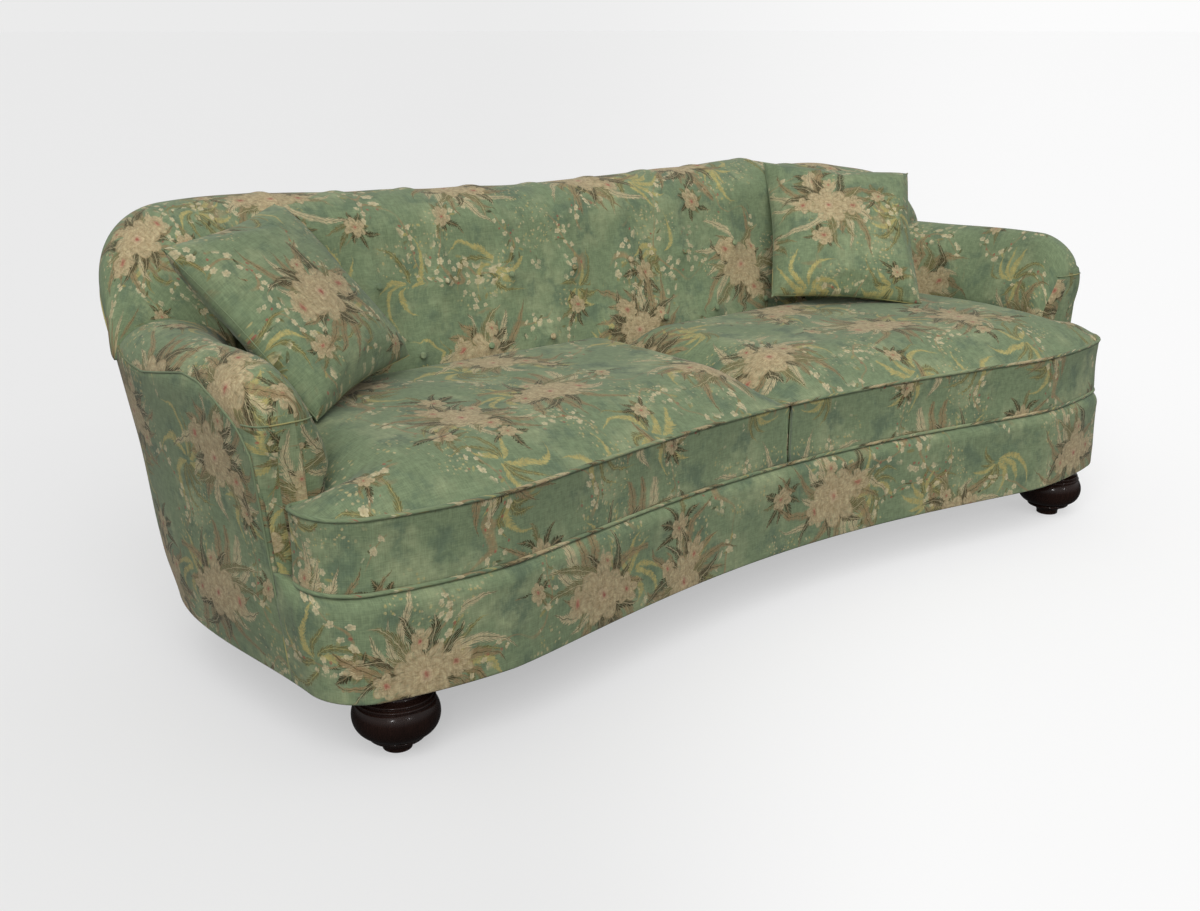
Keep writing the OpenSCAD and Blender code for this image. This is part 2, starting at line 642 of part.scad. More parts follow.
// Seat cushions: T-shaped, with an ear in front of each arm
seat_half = seat_w / 2;
seat_lobe_y = lobe_y + seat_setback;
seat_bottom = deck_z + fit;
split_x = split_gap / 2;
split_r = 14;
ear_y = front_low - ear_gap;
ear_r = 20;
function seat_side_x(z) = arm_inner_x(z) - seat_gap;
function seat_back_y(z) = place(back_station(0), inner_r(back_station(0), z) - seat_gap, z)[1];
function seat_outline(z) = let (
        yf = hollow_y(0, seat_lobe_y),
        yb = seat_back_y(z),
        side = seat_side_x(z)) concat(
    [[split_x, yf + split_r], [split_x + split_r * 0.3, yf + split_r * 0.3]],
    points_of(front_stations(seat_half, seat_corner_r, seat_lobe_y, lobe_r, 7, 0,
        split_x + split_r)),
    [[seat_half, ear_y - ear_r], [seat_half - ear_r * 0.3, ear_y - ear_r * 0.3],
        [seat_half - ear_r, ear_y], [(seat_half - ear_r + side) / 2, ear_y], [side, ear_y]],
    [for (y = steps(ear_y, 0, 5)) if (y > ear_y) [side, y]],
    [for (a = [15:15:90]) seat_corner(rear_station(a), z)],
    [for (x = steps(rear_x, split_x + split_r, 6)) if (x < rear_x) [x, yb]],
    [[split_x, yb - split_r]],
    [for (y = steps(yb - split_r, yf + split_r, 6)) if (y < yb - split_r && y > yf + split_r)
        [split_x, y]]);
function seat_corner(st, z) = let (p = place(st, inner_r(st, z) - seat_gap, z)) [p[0], p[1]];
function outward(points, i) = let (
        n = len(points), d = points[(i + 1) % n] - points[(i + n - 1) % n], k = norm(d))
    [d[1] / k, -d[0] / k];
function inset(points, r) = [for (i = [0:len(points) - 1]) points[i] - outward(points, i) * r];
// Crown: the product of a ramp from each edge
function ramp(d, width) = let (t = clamp(d / width, 0, 1)) 1 - pow(1 - t, 2);
function round_ramp(d, width) = let (t = clamp(d / width, 0, 1)) sqrt(1 - pow(1 - t, 2));
function seat_front_y(x) = x < lobe_x ? hollow_y(x, seat_lobe_y)
    : seat_lobe_y + lobe_r - sqrt(pow(lobe_r, 2) - pow(min(x, seat_half) - lobe_x, 2));
function crown(x, y) = let (
        side = seat_side_x(seat_top),
        arm = norm([max(side - x, 0), max(ear_y - y, 0)]))
    crown_h * ramp(x - split_x, crown_side) * ramp(seat_half - x, crown_side) * ramp(arm, crown_side)
        * ramp(y - seat_front_y(x), crown_front) * round_ramp(seat_back_y(seat_top) - y, crown_back);
core_y = lobe_y + 0.12 * depth;
function core(p) = [clamp(p[0], split_x + 1.2 * crown_side, seat_side_x(seat_top) - 1.2 * crown_side),
    lerp(p[1], core_y, 0.55)];
module seat_cushion() {
    top = seat_outline(seat_top);
    n = len(top);
    low = inset(seat_outline(seat_bottom), 8);
    middle = inset(seat_outline(lerp(seat_bottom, seat_top, 0.5)), boxing_in);
    centre = [0.454 * seat_half, lobe_y + 0.24 * depth];
    shares = [0.05, 0.12, 0.22, 0.36, 0.54, 0.74, 0.9];
    lids = concat([for (k = shares) [for (p = top) lerp(p, core(p), k)]],
        [[for (p = top) lerp(lerp(p, core(p), 0.9), centre, 0.55)]]);
    rings = concat([
        [for (p = low) [p[0], p[1], seat_bottom]],
        [for (p = seat_outline(seat_bottom)) [p[0], p[1], seat_bottom + 7]],
        [for (p = middle) [p[0], p[1], lerp(seat_bottom, seat_top, 0.5)]],
        [for (p = top) [p[0], p[1], seat_top]]],
        [for (ring = lids) [for (p = ring) [p[0], p[1], seat_top + crown(p[0], p[1])]]]);
    last = (len(rings) - 1) * n;
    under = len(rings) * n;
    color(fabric) polyhedron(
        concat([for (ring = rings) each ring], [[centre[0], centre[1], seat_bottom],
            [centre[0], centre[1], seat_top + crown(centre[0], centre[1])]]),
        concat(
            [for (i = [0:len(rings) - 2], j = [0:n - 1]) let (a = i * n + j, b = i * n + (j + 1) % n)
                each [[a, b + n, b], [a, a + n, b + n]]],
            [for (j = [0:n - 1]) [j, (j + 1) % n, under]],
            [for (j = [0:n - 1]) [last + (j + 1) % n, last + j, under + 1]]),
        convexity = 8);
}

// Scatter cushions: two swelling faces that meet in a knife edge, with drawn-in sides
pillow_n = 11;
pillow_grid = [for (i = [0:pillow_n - 1]) sin(lerp(-90, 90, i / (pillow_n - 1)))];
function pillow_point(u, v, side) = let (
        h = pillow_w / 2, swell = pow(max((1 - u * u) * (1 - v * v), 0), 0.42))
    [u * (h - pillow_in * (1 - v * v)), side * pillow_t / 2 * swell, v * (h - pillow_in * (1 - u * u))];
module pillow() {
    n = pillow_n;
    t = pillow_grid;
    function rim(i, j) = i == 0 || j == 0 || i == n - 1 || j == n - 1;
    function index(i, j, side) = side < 0 || rim(i, j) ? i * n + j
        : n * n + (i - 1) * (n - 2) + j - 1;
    function cell(i, j, s) = [index(i, j, s), index(i + 1, j, s), index(i + 1, j + 1, s),
        index(i, j + 1, s)];
    function halves(q) = [[q[0], q[1], q[2]], [q[0], q[2], q[3]]];
    polyhedron(
        concat([for (i = [0:n - 1], j = [0:n - 1]) pillow_point(t[i], t[j], -1)],
            [for (i = [1:n - 2], j = [1:n - 2]) pillow_point(t[i], t[j], 1)]),
        [for (i = [0:n - 2], j = [0:n - 2]) each concat(
            halves(rev(cell(i, j, -1))), halves(cell(i, j, 1)))],
        convexity = 4);
}
// A point of a cushion that is rolled in its own plane, leant back and turned
function turned(p, roll, lean, yaw) = let (
        x = p[0] * cos(roll) + p[2] * sin(roll),
        z = p[2] * cos(roll) - p[0] * sin(roll),
        y = p[1] * cos(lean) + z * sin(lean))
    [x * cos(yaw) - y * sin(yaw), x * sin(yaw) + y * cos(yaw), z * cos(lean) - p[1] * sin(lean)];
// The cushion's middle lies in front of its top by half its width and thickness, and its
// lowest point rests on the seat cushion
function pillow_spot(x, y, lean, yaw) = let (
        reach = pillow_w / 2 * sin(lean) + pillow_t / 2 * cos(lean))
    [x + reach * sin(yaw), y - reach * cos(yaw)];
function rest_z(spot, roll, lean, yaw) = max([for (u = pillow_grid, v = pillow_grid, s = [-1, 1])
    let (p = turned(pillow_point(u, v, s), roll, lean, yaw))
        seat_top + crown(abs(spot[0] + p[0]), spot[1] + p[1]) - p[2]]) + pillow_gap;
pillow_gap = fit;
module resting(spot, roll, lean, yaw) {
    color(fabric_light) translate([spot[0], spot[1], rest_z(spot, roll, lean, yaw)])
        rotate([-lean, 0, yaw]) rotate([0, roll, 0]) pillow();
}
back_foot_y = hem_back - back_t;
module scatter_cushion_left() {
    yaw = 30;
    resting(pillow_spot(-inner_w / 2 + pillow_left_in, back_foot_y + pillow_left_back, lean_left, yaw),
        -8, lean_left, yaw);
}
module scatter_cushion_right() {
    yaw = -32;
    resting(pillow_spot(inner_w / 2 - pillow_right_in, back_foot_y + pillow_right_back, lean_right, yaw),
        5, lean_right, yaw);
}

foot(-foot_front_x, -foot_front_y);  // foot_front_left
foot(foot_front_x, -foot_front_y);  // foot_front_right
foot(-foot_rear_x, foot_rear_y);  // foot_rear_left
foot(foot_rear_x, foot_rear_y);  // foot_rear_right
foot_bolts();
front_rail();
back_rail();
left() side_rail();  // side_rail_left
side_rail();  // side_rail_right
left() corner_rail();  // corner_rail_left
corner_rail();  // corner_rail_right
centre_rail();
corner_blocks();
left() arm_post_front();  // arm_post_front_left
arm_post_front();  // arm_post_front_right
left() arm_post_rear();  // arm_post_rear_left
arm_post_rear();  // arm_post_rear_right
left() arm_rail();  // arm_rail_left
arm_rail();  // arm_rail_right
left() wing_post();  // wing_post_left
wing_post();  // wing_post_right
back_post(-outer_post_x);  // back_post_outer_left
back_post(outer_post_x);  // back_post_outer_right
back_post(-inner_post_x);  // back_post_inner_left
back_post(inner_post_x);  // back_post_inner_right
back_top_rail();
back_straps();
seat_springs();
spring_clips();
deck_pad();
dust_cover();
front_border();
left() outside_arm();  // outside_arm_left
outside_arm();  // outside_arm_right
outside_back();
left() arm_front();  // arm_front_left
arm_front();  // arm_front_right
left() arm_inside();  // arm_inside_left
arm_inside();  // arm_inside_right
left() arm_roll();  // arm_roll_left
arm_roll();  // arm_roll_right
left() wing_pad(shoulder_left);  // wing_pad_left
wing_pad(shoulder_right);  // wing_pad_right
back_pad();
back_buttons();
left() seat_cushion();  // seat_cushion_left
seat_cushion();  // seat_cushion_right
scatter_cushion_left();
scatter_cushion_right();
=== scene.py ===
"""Three-seat sofa in a worn printed linen, on dark turned feet.

The covers and cushions are surfaces worked out with numpy in millimetres, in the same
places as the frame's solids, and the print is a node material on each piece's own UV map.
"""
import json
import logging
import math
from dataclasses import dataclass, replace
from enum import Enum
from functools import partial
from typing import Callable

import bmesh
import bpy
import numpy as np
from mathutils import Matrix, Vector


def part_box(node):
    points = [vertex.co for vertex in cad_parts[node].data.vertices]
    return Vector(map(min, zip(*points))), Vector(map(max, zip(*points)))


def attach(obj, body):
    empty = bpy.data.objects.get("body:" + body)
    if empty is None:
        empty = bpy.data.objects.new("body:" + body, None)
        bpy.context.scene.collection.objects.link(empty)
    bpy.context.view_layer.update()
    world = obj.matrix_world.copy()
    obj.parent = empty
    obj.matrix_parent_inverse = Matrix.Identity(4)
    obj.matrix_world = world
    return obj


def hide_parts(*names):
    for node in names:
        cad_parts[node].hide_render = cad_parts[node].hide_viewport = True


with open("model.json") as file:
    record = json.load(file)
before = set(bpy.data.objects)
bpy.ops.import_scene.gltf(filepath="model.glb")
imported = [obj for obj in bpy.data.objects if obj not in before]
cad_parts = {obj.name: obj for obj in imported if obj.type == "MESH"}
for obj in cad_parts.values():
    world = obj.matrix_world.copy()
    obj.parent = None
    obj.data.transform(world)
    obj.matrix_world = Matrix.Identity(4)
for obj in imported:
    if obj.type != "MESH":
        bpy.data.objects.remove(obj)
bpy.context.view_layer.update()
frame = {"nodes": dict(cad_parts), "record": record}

LOG = logging.getLogger("sofa")
MM = 0.001
PHOTO_SIZE = (1200, 911)
CLOTH_UV = "cloth"
CORD_SIDES = 8

Array = np.ndarray
Socket = bpy.types.NodeSocket
Add = Callable[..., Socket]


class Side(Enum):
    """A side of the sofa as seen by someone who looks at its front."""

    LEFT = -1
    RIGHT = 1

    @property
    def word(self) -> str:
        """Return the side's word in node names."""
        return self.name.lower()

    def mirror(self, points: Array) -> Array:
        """Return points of the right side as they lie on this side."""
        return points * [self.value, 1, 1]


def lerp(a: Array, b: Array, t: Array) -> Array:
    """Return the point a share t of the way from a to b."""
    return a + (b - a) * t


def ease(t: Array) -> Array:
    """Return 3s² - 2s³, with s the value t held between 0 and 1."""
    s = np.clip(t, 0.0, 1.0)
    return s * s * (3 - 2 * s)


def bump(distance: Array, width: float) -> Array:
    """Return exp(-(distance / width)²)."""
    return np.exp(-((distance / width) ** 2))


def spin(a: Array, b: Array, degrees: float) -> tuple[Array, Array]:
    """Return two coordinates after a turn from the first axis towards the second."""
    c, s = math.cos(math.radians(degrees)), math.sin(math.radians(degrees))
    return a * c - b * s, a * s + b * c


def ellipse_arc(centre: tuple[float, float], reach: tuple[float, float],
                angles: tuple[float, float], count: int) -> Array:
    """Return points along an arc of an ellipse between two angles in degrees."""
    a = np.radians(np.linspace(*angles, count))
    return np.stack([centre[0] + reach[0] * np.cos(a), centre[1] + reach[1] * np.sin(a)], -1)


def undulation(u: Array, v: Array, size: float, seed: int) -> Array:
    """Return soft random waves between about -1 and 1.

    The value is the mean of seven sines of straight waves whose directions, lengths
    (0.7 to 1.6 times size) and phases come from the seed.

    Args:
        u: First coordinate in millimetres.
        v: Second coordinate in millimetres.
        size: Typical length of a wave in millimetres.
        seed: Seed of the random numbers.
    """
    rng = np.random.default_rng(seed)
    turn = rng.uniform(0, 2 * math.pi, 7)
    rate = 2 * math.pi / (size * rng.uniform(0.7, 1.6, 7))
    phase = rng.uniform(0, 2 * math.pi, 7)
    u, v = np.broadcast_arrays(u, v)
    waves = np.sin(u[..., None] * rate * np.cos(turn) + v[..., None] * rate * np.sin(turn) + phase)
    return waves.mean(-1) * 1.6


# Meshes


@dataclass(frozen=True)
class Cloth:
    """Where a piece's print starts: the UV map in metres is its arc lengths plus this.

    A scale under 1 keeps a thin seam in one part of the print.
    """

    u: float = 0.0
    v: float = 0.0
    turn: float = 0.0
    scale: float = 1.0

    def place(self, u: Array, v: Array) -> Array:
        """Return the UV pairs, turned by the angle in degrees and then moved."""
        u, v = spin(u * self.scale, v * self.scale, self.turn)
        return np.stack([u + self.u, v + self.v], -1)


SEAM_CLOTH = Cloth(0.64, 1.07, scale=0.02)


def mesh_piece(name: str, points: Array, quads: Array, uv: Array | None = None,
               lids: list[list[int]] | None = None) -> bpy.types.Object:
    """Make a smooth mesh object from points in millimetres.

    Its faces are turned outwards by the sign of its volume, the sum over the triangles of
    a . (b x c) / 6.

    Args:
        name: Name of the piece.
        points: Vertex positions in millimetres, (n, 3).
        quads: Vertex numbers of the quads, (m, 4).
        uv: UV pairs of the quads' corners in metres, (m, 4, 2).
        lids: Further polygons, such as end caps.

    Returns:
        The new object, at the origin.
    """
    lids = lids or []
    corners = points[quads]
    volume = np.einsum("ij,ij->", corners[:, 0], np.cross(corners[:, 1], corners[:, 2]))
    volume += np.einsum("ij,ij->", corners[:, 0], np.cross(corners[:, 2], corners[:, 3]))
    faces = [list(face) for face in quads.tolist()] + [list(lid) for lid in lids]
    if volume < 0:
        faces = [face[::-1] for face in faces]
        uv = uv[:, ::-1] if uv is not None else None
    mesh = bpy.data.meshes.new(name)
    mesh.from_pydata((points * MM).tolist(), [], faces)
    if uv is not None:
        layer = mesh.uv_layers.new(name=CLOTH_UV)
        flat = np.zeros((len(mesh.loops), 2))
        flat[: len(quads) * 4] = uv.reshape(-1, 2)
        start = len(quads) * 4
        for lid in lids:
            spot = points[lid[::-1] if volume < 0 else lid]
            flat[start:start + len(lid)] = spot[:, [0, 2]] * MM
            start += len(lid)
        layer.data.foreach_set("uv", flat.ravel())
    mesh.validate()
    mesh.polygons.foreach_set("use_smooth", [True] * len(mesh.polygons))
    piece = bpy.data.objects.new(name, mesh)
    bpy.context.scene.collection.objects.link(piece)
    return piece


def arc_lengths(points: Array, axis: int, origin: int) -> Array:
    """Return the summed step lengths along one axis of a grid of points, 0 at origin."""
    steps = np.linalg.norm(np.diff(points, axis=axis), axis=-1)
    pad = [(0, 0), (0, 0)]
    pad[axis] = (1, 0)
    total = np.cumsum(np.pad(steps, pad), axis=axis)
    return total - np.take(total, [origin], axis=axis)


def ring_quads(rows: int, ring: int) -> tuple[Array, Array, Array]:
    """Return the quads between a row of rings: each one's row, its place and its corners."""
    i, j = np.meshgrid(np.arange(rows - 1), np.arange(ring), indexing="ij")
    after = (j + 1) % ring
    a, b = i * ring, (i + 1) * ring
    return i, j, np.stack([a + j, a + after, b + after, b + j], -1)


def end_lids(rows: int, ring: int, first: int = 0) -> list[list[int]]:
    """Return the two faces that close a row of rings whose first point has a given number."""
    last = first + (rows - 1) * ring
    return [list(range(first, first + ring))[::-1], list(range(last, last + ring))]


def skin_piece(name: str, sections: Array, cloth: Cloth, origin: tuple[int, int] = (0, 0),
               capped: bool = True, flat: Array | None = None) -> bpy.types.Object:
    """Make a closed skin from a row of closed sections.

    Args:
        name: Name of the piece.
        sections: Points in millimetres, (rows, ring, 3), each ring closed on itself.
        cloth: Where the print starts.
        origin: Row and ring place at which the UV map is zero.
        capped: True if the first and last sections are closed by a face.
        flat: Points, (rows, ring), whose cloth is a panel of its own that takes the print
            in the plane of x and z.

    Returns:
        The new object.
    """
    rows, ring = sections.shape[:2]
    closed = np.concatenate([sections, sections[:, :1]], 1)
    uv = cloth.place(*(arc_lengths(closed, axis, origin[axis]) * MM for axis in (0, 1)))
    i, j, quads = ring_quads(rows, ring)
    corner_uv = np.stack([uv[i, j], uv[i, j + 1], uv[i + 1, j + 1], uv[i + 1, j]], -2)
    if flat is not None:
        plain = cloth.place(closed[..., 0] * MM, closed[..., 2] * MM)
        plain = np.stack([plain[i, j], plain[i, j + 1], plain[i + 1, j + 1], plain[i + 1, j]], -2)
        panel = flat[i, j] & flat[i, (j + 1) % ring] & flat[i + 1, j]
        corner_uv = np.where(panel[..., None, None], plain, corner_uv)
    return mesh_piece(name, sections.reshape(-1, 3), quads.reshape(-1, 4),
                      corner_uv.reshape(-1, 4, 2), end_lids(rows, ring) if capped else [])


def tube_piece(name: str, path: Array, radius: float, cloth: Cloth, closed: bool = False,
               reference: tuple[float, float, float] = (0, 0, 1)) -> bpy.types.Object:
    """Make a round cord along a path.

    Each ring has its two directions from the path's tangent T: B = T x reference and
    N = B x T.

    Args:
        name: Name of the piece.
        path: Points in millimetres, (n, 3).
        radius: Radius in millimetres.
        cloth: Where the print starts.
        closed: True if the path comes back to its start.
        reference: A direction that the path never runs along.

    Returns:
        The new object.
    """
    if closed:
        path = np.concatenate([path, path[:1]])
        tangent = np.roll(path[:-1], -1, 0) - np.roll(path[:-1], 1, 0)
        tangent = np.concatenate([tangent, tangent[:1]])
    else:
        tangent = np.gradient(path, axis=0)
    tangent /= np.linalg.norm(tangent, axis=1, keepdims=True)
    side = np.cross(tangent, np.array(reference, float))
    side /= np.linalg.norm(side, axis=1, keepdims=True)
    up = np.cross(side, tangent)
    a = np.linspace(0, 2 * math.pi, CORD_SIDES, endpoint=False)[:, None]
    rings = path[:, None] + radius * (side[:, None] * np.cos(a) + up[:, None] * np.sin(a))
    piece = skin_piece(name, rings, cloth, capped=not closed)
    if closed:
        merge_doubles(piece.data, 0.01 * MM)
    return piece


def vertices(mesh: bpy.types.Mesh) -> Array:
    """Return the mesh's vertex positions in metres, (n, 3)."""
    co = np.empty(len(mesh.vertices) * 3)
    mesh.vertices.foreach_get("co", co)
    return co.reshape(-1, 3)


def move_vertices(mesh: bpy.types.Mesh, points: Array) -> None:
    """Move the mesh's vertices to positions in metres."""
    mesh.vertices.foreach_set("co", points.ravel())
    mesh.update()


def merge_doubles(mesh: bpy.types.Mesh, distance: float) -> None:
    """Merge the mesh's vertices that lie closer together than a distance in metres."""
    work = bmesh.new()
    work.from_mesh(mesh)
    bmesh.ops.remove_doubles(work, verts=work.verts, dist=distance)
    work.to_mesh(mesh)
    work.free()


def grid_normals(points: Array) -> Array:
    """Return the unit normals of a grid of points, the cross product of its two gradients."""
    normal = np.cross(np.gradient(points, axis=0), np.gradient(points, axis=1))
    size = np.linalg.norm(normal, axis=-1, keepdims=True)
    return normal / np.maximum(size, 1e-9)


# The plan


@dataclass(frozen=True)
class SofaSizes:
    """The sofa's named sizes in millimetres and degrees, as in the frame's source."""

    hem_w: float = 2326
    depth: float = 1000
    back_h: float = 877
    arm_h: float = 704
    flare: float = 0.11
    side_taper: float = 20
    base_corner_r: float = 114
    front_hollow: float = 97
    hollow_power: float = 1.32
    lobe_x: float = 810
    lobe_r: float = 1040
    rear_corner_w: float = 340
    corner_power: float = 2.3
    corner_flare: float = 0.06
    hem_z: float = 131
    deck_z: float = 322
    lining: float = 45.2
    inner_w: float = 2092
    arm_rake: float = 0.03
    roll_h: float = 84
    arm_setback: float = 202
    arm_drop: float = 8
    front_bulge: float = 3
    back_t: float = 266
    back_rake: float = 0.212
    crest_in: float = 88
    crest_out: float = 56
    crest_rise: float = 18
    wing_end: float = 28
    shoulder_left: float = 0.5
    shoulder_right: float = 0.1
    dome_back: float = 90

    @property
    def half_w(self) -> float:
        """Return half the width of the hem."""
        return self.hem_w / 2

    @property
    def base_half(self) -> float:
        """Return half the width of the base at its front corners."""
        return self.half_w - self.side_taper

    @property
    def lobe_y(self) -> float:
        """Return the place of the front of the base."""
        return -self.depth / 2

    @property
    def seam_y(self) -> float:
        """Return the place of the outer seam at the arm's front."""
        return self.lobe_y + self.arm_setback

    @property
    def roll_z(self) -> float:
        """Return the height at which the arm's roll starts."""
        return self.arm_h - self.roll_h

    @property
    def seam_z(self) -> float:
        """Return the height of the seam behind the back's top."""
        return self.back_h - self.crest_out

    @property
    def hem_back(self) -> float:
        """Return the place of the hem behind the back."""
        return self.depth / 2 - self.flare * (self.seam_z - self.hem_z)

    @property
    def rear_x(self) -> float:
        """Return where the rear corners start."""
        return self.half_w - self.rear_corner_w

    @property
    def pad_z(self) -> float:
        """Return the height at which the soft pieces start."""
        return self.deck_z + 0.4


@dataclass(frozen=True)
class Stations:
    """Places on the hem: position, outward normal, lean and turn round the rear corner.

    The turn is 0 along the front and the arm and 90 along the back. Each field is a
    column, so that it spreads over a row of heights.
    """

    x: Array
    y: Array
    nx: Array
    ny: Array
    lean: Array
    turn: Array

    @classmethod
    def of(cls, *fields: Array | float) -> "Stations":
        """Return stations from rows of numbers, each made as long as the longest."""
        rows = np.broadcast_arrays(*(np.asarray(field, float) for field in fields))
        return cls(*(row[:, None] for row in rows))

    @property
    def fields(self) -> tuple[Array, ...]:
        """Return the six columns."""
        return self.x, self.y, self.nx, self.ny, self.lean, self.turn

    def __len__(self) -> int:
        """Return how many stations there are."""
        return len(self.x)

    def place(self, r: Array, z: Array, hem_z: float = SofaSizes.hem_z) -> Array:
        """Return the points at a distance outside the hem and a height.

        The offset along the normal is r + lean (z - hem_z).
        """
        d = r + self.lean * (z - hem_z)
        x, y, z = np.broadcast_arrays(self.x + self.nx * d, self.y + self.ny * d, z)
        return np.stack([x, y, z], -1)

    def mirrored(self) -> "Stations":
        """Return the same stations on the other side, in the opposite order."""
        return Stations(-self.x[::-1], self.y[::-1], -self.nx[::-1], self.ny[::-1],
                        self.lean[::-1], self.turn[::-1])

    def joined(self, *others: "Stations") -> "Stations":
        """Return these stations followed by others."""
        rows = [st.fields for st in (self, *others)]
        return Stations(*(np.concatenate(column) for column in zip(*rows)))


@dataclass(frozen=True)
class Plan:
    """The curve of the hem and the faces and heights that follow it."""

    size: SofaSizes = SofaSizes()

    def hollow_y(self, x: Array, line_y: float) -> Array:
        """Return line_y + hollow (1 - (x / lobe)²)^power, the hollow middle of the front."""
        s = self.size
        return line_y + s.front_hollow * np.maximum(1 - (x / s.lobe_x) ** 2, 0) ** s.hollow_power

    def front(self, half: float, corner_r: float, line_y: float, step: float = 14,
              first: float = 0.0, lean: float = 0.0) -> Stations:
        """Return the right half of a front: the hollow, the lobe's arc and the corner's arc.

        Args:
            half: Half the width of the front.
            corner_r: Radius of the corner.
            line_y: Place of the lobes.
            step: Distance between stations.
            first: Where the first station is.
            lean: How far the end of the corner leans out for each millimetre of height.
        """
        s = self.size
        x = np.linspace(first, s.lobe_x, int(s.lobe_x / step) + 1)
        inside = np.maximum(1 - (x / s.lobe_x) ** 2, 0) ** (s.hollow_power - 1)
        slope = -2 * x / s.lobe_x ** 2 * s.front_hollow * s.hollow_power * inside
        k = np.sqrt(1 + slope ** 2)
        hollow = Stations.of(x, self.hollow_y(x, line_y), slope / k, -1 / k, 0, 0)
        a0 = math.asin((half - corner_r - s.lobe_x) / (s.lobe_r - corner_r))
        arc = np.linspace(0, a0, 16)[1:]
        lobe = Stations.of(s.lobe_x + s.lobe_r * np.sin(arc), line_y + s.lobe_r * (1 - np.cos(arc)),
                           np.sin(arc), -np.cos(arc), 0, 0)
        share = np.linspace(0, 1, 22)[1:]
        arc = lerp(a0, math.pi / 2, share)
        centre_y = line_y + s.lobe_r - (s.lobe_r - corner_r) * math.cos(a0)
        x = half - corner_r + corner_r * np.sin(arc)
        corner = Stations.of(x, centre_y - corner_r * np.cos(arc), np.sin(arc), -np.cos(arc),
                             lean * share ** 4, 0)
        return hollow.joined(lobe, corner)

    @property
    def corner_y(self) -> float:
        """Return where the front corner of the base ends and the side starts."""
        s = self.size
        return float(self.front(s.base_half, s.base_corner_r, s.lobe_y).y[-1, 0])

    def side_x(self, y: Array) -> Array:
        """Return half_w - taper (1 - ease(share of the way back from the front corner))."""
        s = self.size
        return s.half_w - s.side_taper * (1 - ease((y - self.corner_y) / -self.corner_y))

    def side(self, y: Array) -> Stations:
        """Return stations along the right side."""
        return Stations.of(self.side_x(y), y, 1, 0, self.size.flare, 0)

    def rear(self, angle: Array) -> Stations:
        """Return stations round the right rear corner, a quarter of a superellipse.

        x = rear_x + w cos^(2/p), y = hem_back sin^(2/p), with the normal along
        (cos^(2-2/p) / w, sin^(2-2/p) / hem_back).
        """
        s = self.size
        a = np.radians(np.asarray(angle, float))
        c, n = np.maximum(np.cos(a), 0), np.maximum(np.sin(a), 0)
        p = s.corner_power
        nx, ny = c ** (2 - 2 / p) / s.rear_corner_w, n ** (2 - 2 / p) / s.hem_back
        k = np.hypot(nx, ny)
        lean = s.flare + s.corner_flare * np.sin(2 * a) ** 2
        return Stations.of(s.rear_x + s.rear_corner_w * c ** (2 / p), s.hem_back * n ** (2 / p),
                           nx / k, ny / k, lean, angle)

    def back(self, x: Array) -> Stations:
        """Return stations along the back."""
        return Stations.of(x, self.size.hem_back, 0, 1, self.size.flare, 90)

    def backness(self, st: Stations) -> Array:
        """Return the sine of the turn: 0 along the arm and 1 along the back."""
        return np.sin(np.radians(st.turn))

    def inner_r(self, st: Stations, z: Array) -> Array:
        """Return the inner face's distance from the hem, negative inwards.

        It is - depth - lean (z - hem) + flare (pad - hem) + rake (z - pad), where depth and
        rake go from the arm's to the back's with the sine of the turn.
        """
        s = self.size
        b = self.backness(st)
        half = np.where(st.turn > 0, s.half_w, np.abs(st.x))
        arm = half + s.flare * (s.pad_z - s.hem_z) - s.inner_w / 2
        depth = lerp(arm, s.back_t, b)
        return (-depth - st.lean * (z - s.hem_z) + s.flare * (s.pad_z - s.hem_z)
                + lerp(s.arm_rake, s.back_rake, b) * (z - s.pad_z))

    def arm_top(self, st: Stations) -> Array:
        """Return the height of the arm's top, which eases down towards the back."""
        s = self.size
        return s.arm_h - s.arm_drop * ease((st.y - s.seam_y / 2) / (130 - s.seam_y / 2))

    def rise(self, st: Stations, shoulder: Array) -> Array:
        """Return the share of the back's height, a quarter ellipse down to the arm."""
        s = self.size
        w = (90 - st.turn) / (90 - s.wing_end)
        fall = np.clip((w - shoulder) / (1 - shoulder), 0, 1)
        return np.sqrt(1 - fall ** 2)

    def crest(self, st: Stations, shoulder: Array) -> Array:
        """Return the height of the top along the back and down to the arm."""
        s = self.size
        lift = s.crest_rise * np.minimum(np.abs(st.x) / s.rear_x, 1) ** 3
        return lerp(self.arm_top(st), s.back_h + lift, self.rise(st, shoulder))

    def seam_height(self, st: Stations) -> Array:
        """Return the height of the seam at the top of the outside covers."""
        s = self.size
        share = self.rise(st, min(s.shoulder_left, s.shoulder_right))
        return np.where(st.y <= 0, s.roll_z, lerp(s.roll_z, s.seam_z, share))


PLAN = Plan()
SIZE = PLAN.size


# Finishes


def linear(colour: str) -> tuple[float, float, float, float]:
    """Return the linear colour of an sRGB hex value such as "#74806a"."""
    parts = [int(colour[i:i + 2], 16) / 255 for i in (1, 3, 5)]
    return (*(c / 12.92 if c <= 0.04045 else ((c + 0.055) / 1.055) ** 2.4 for c in parts), 1.0)


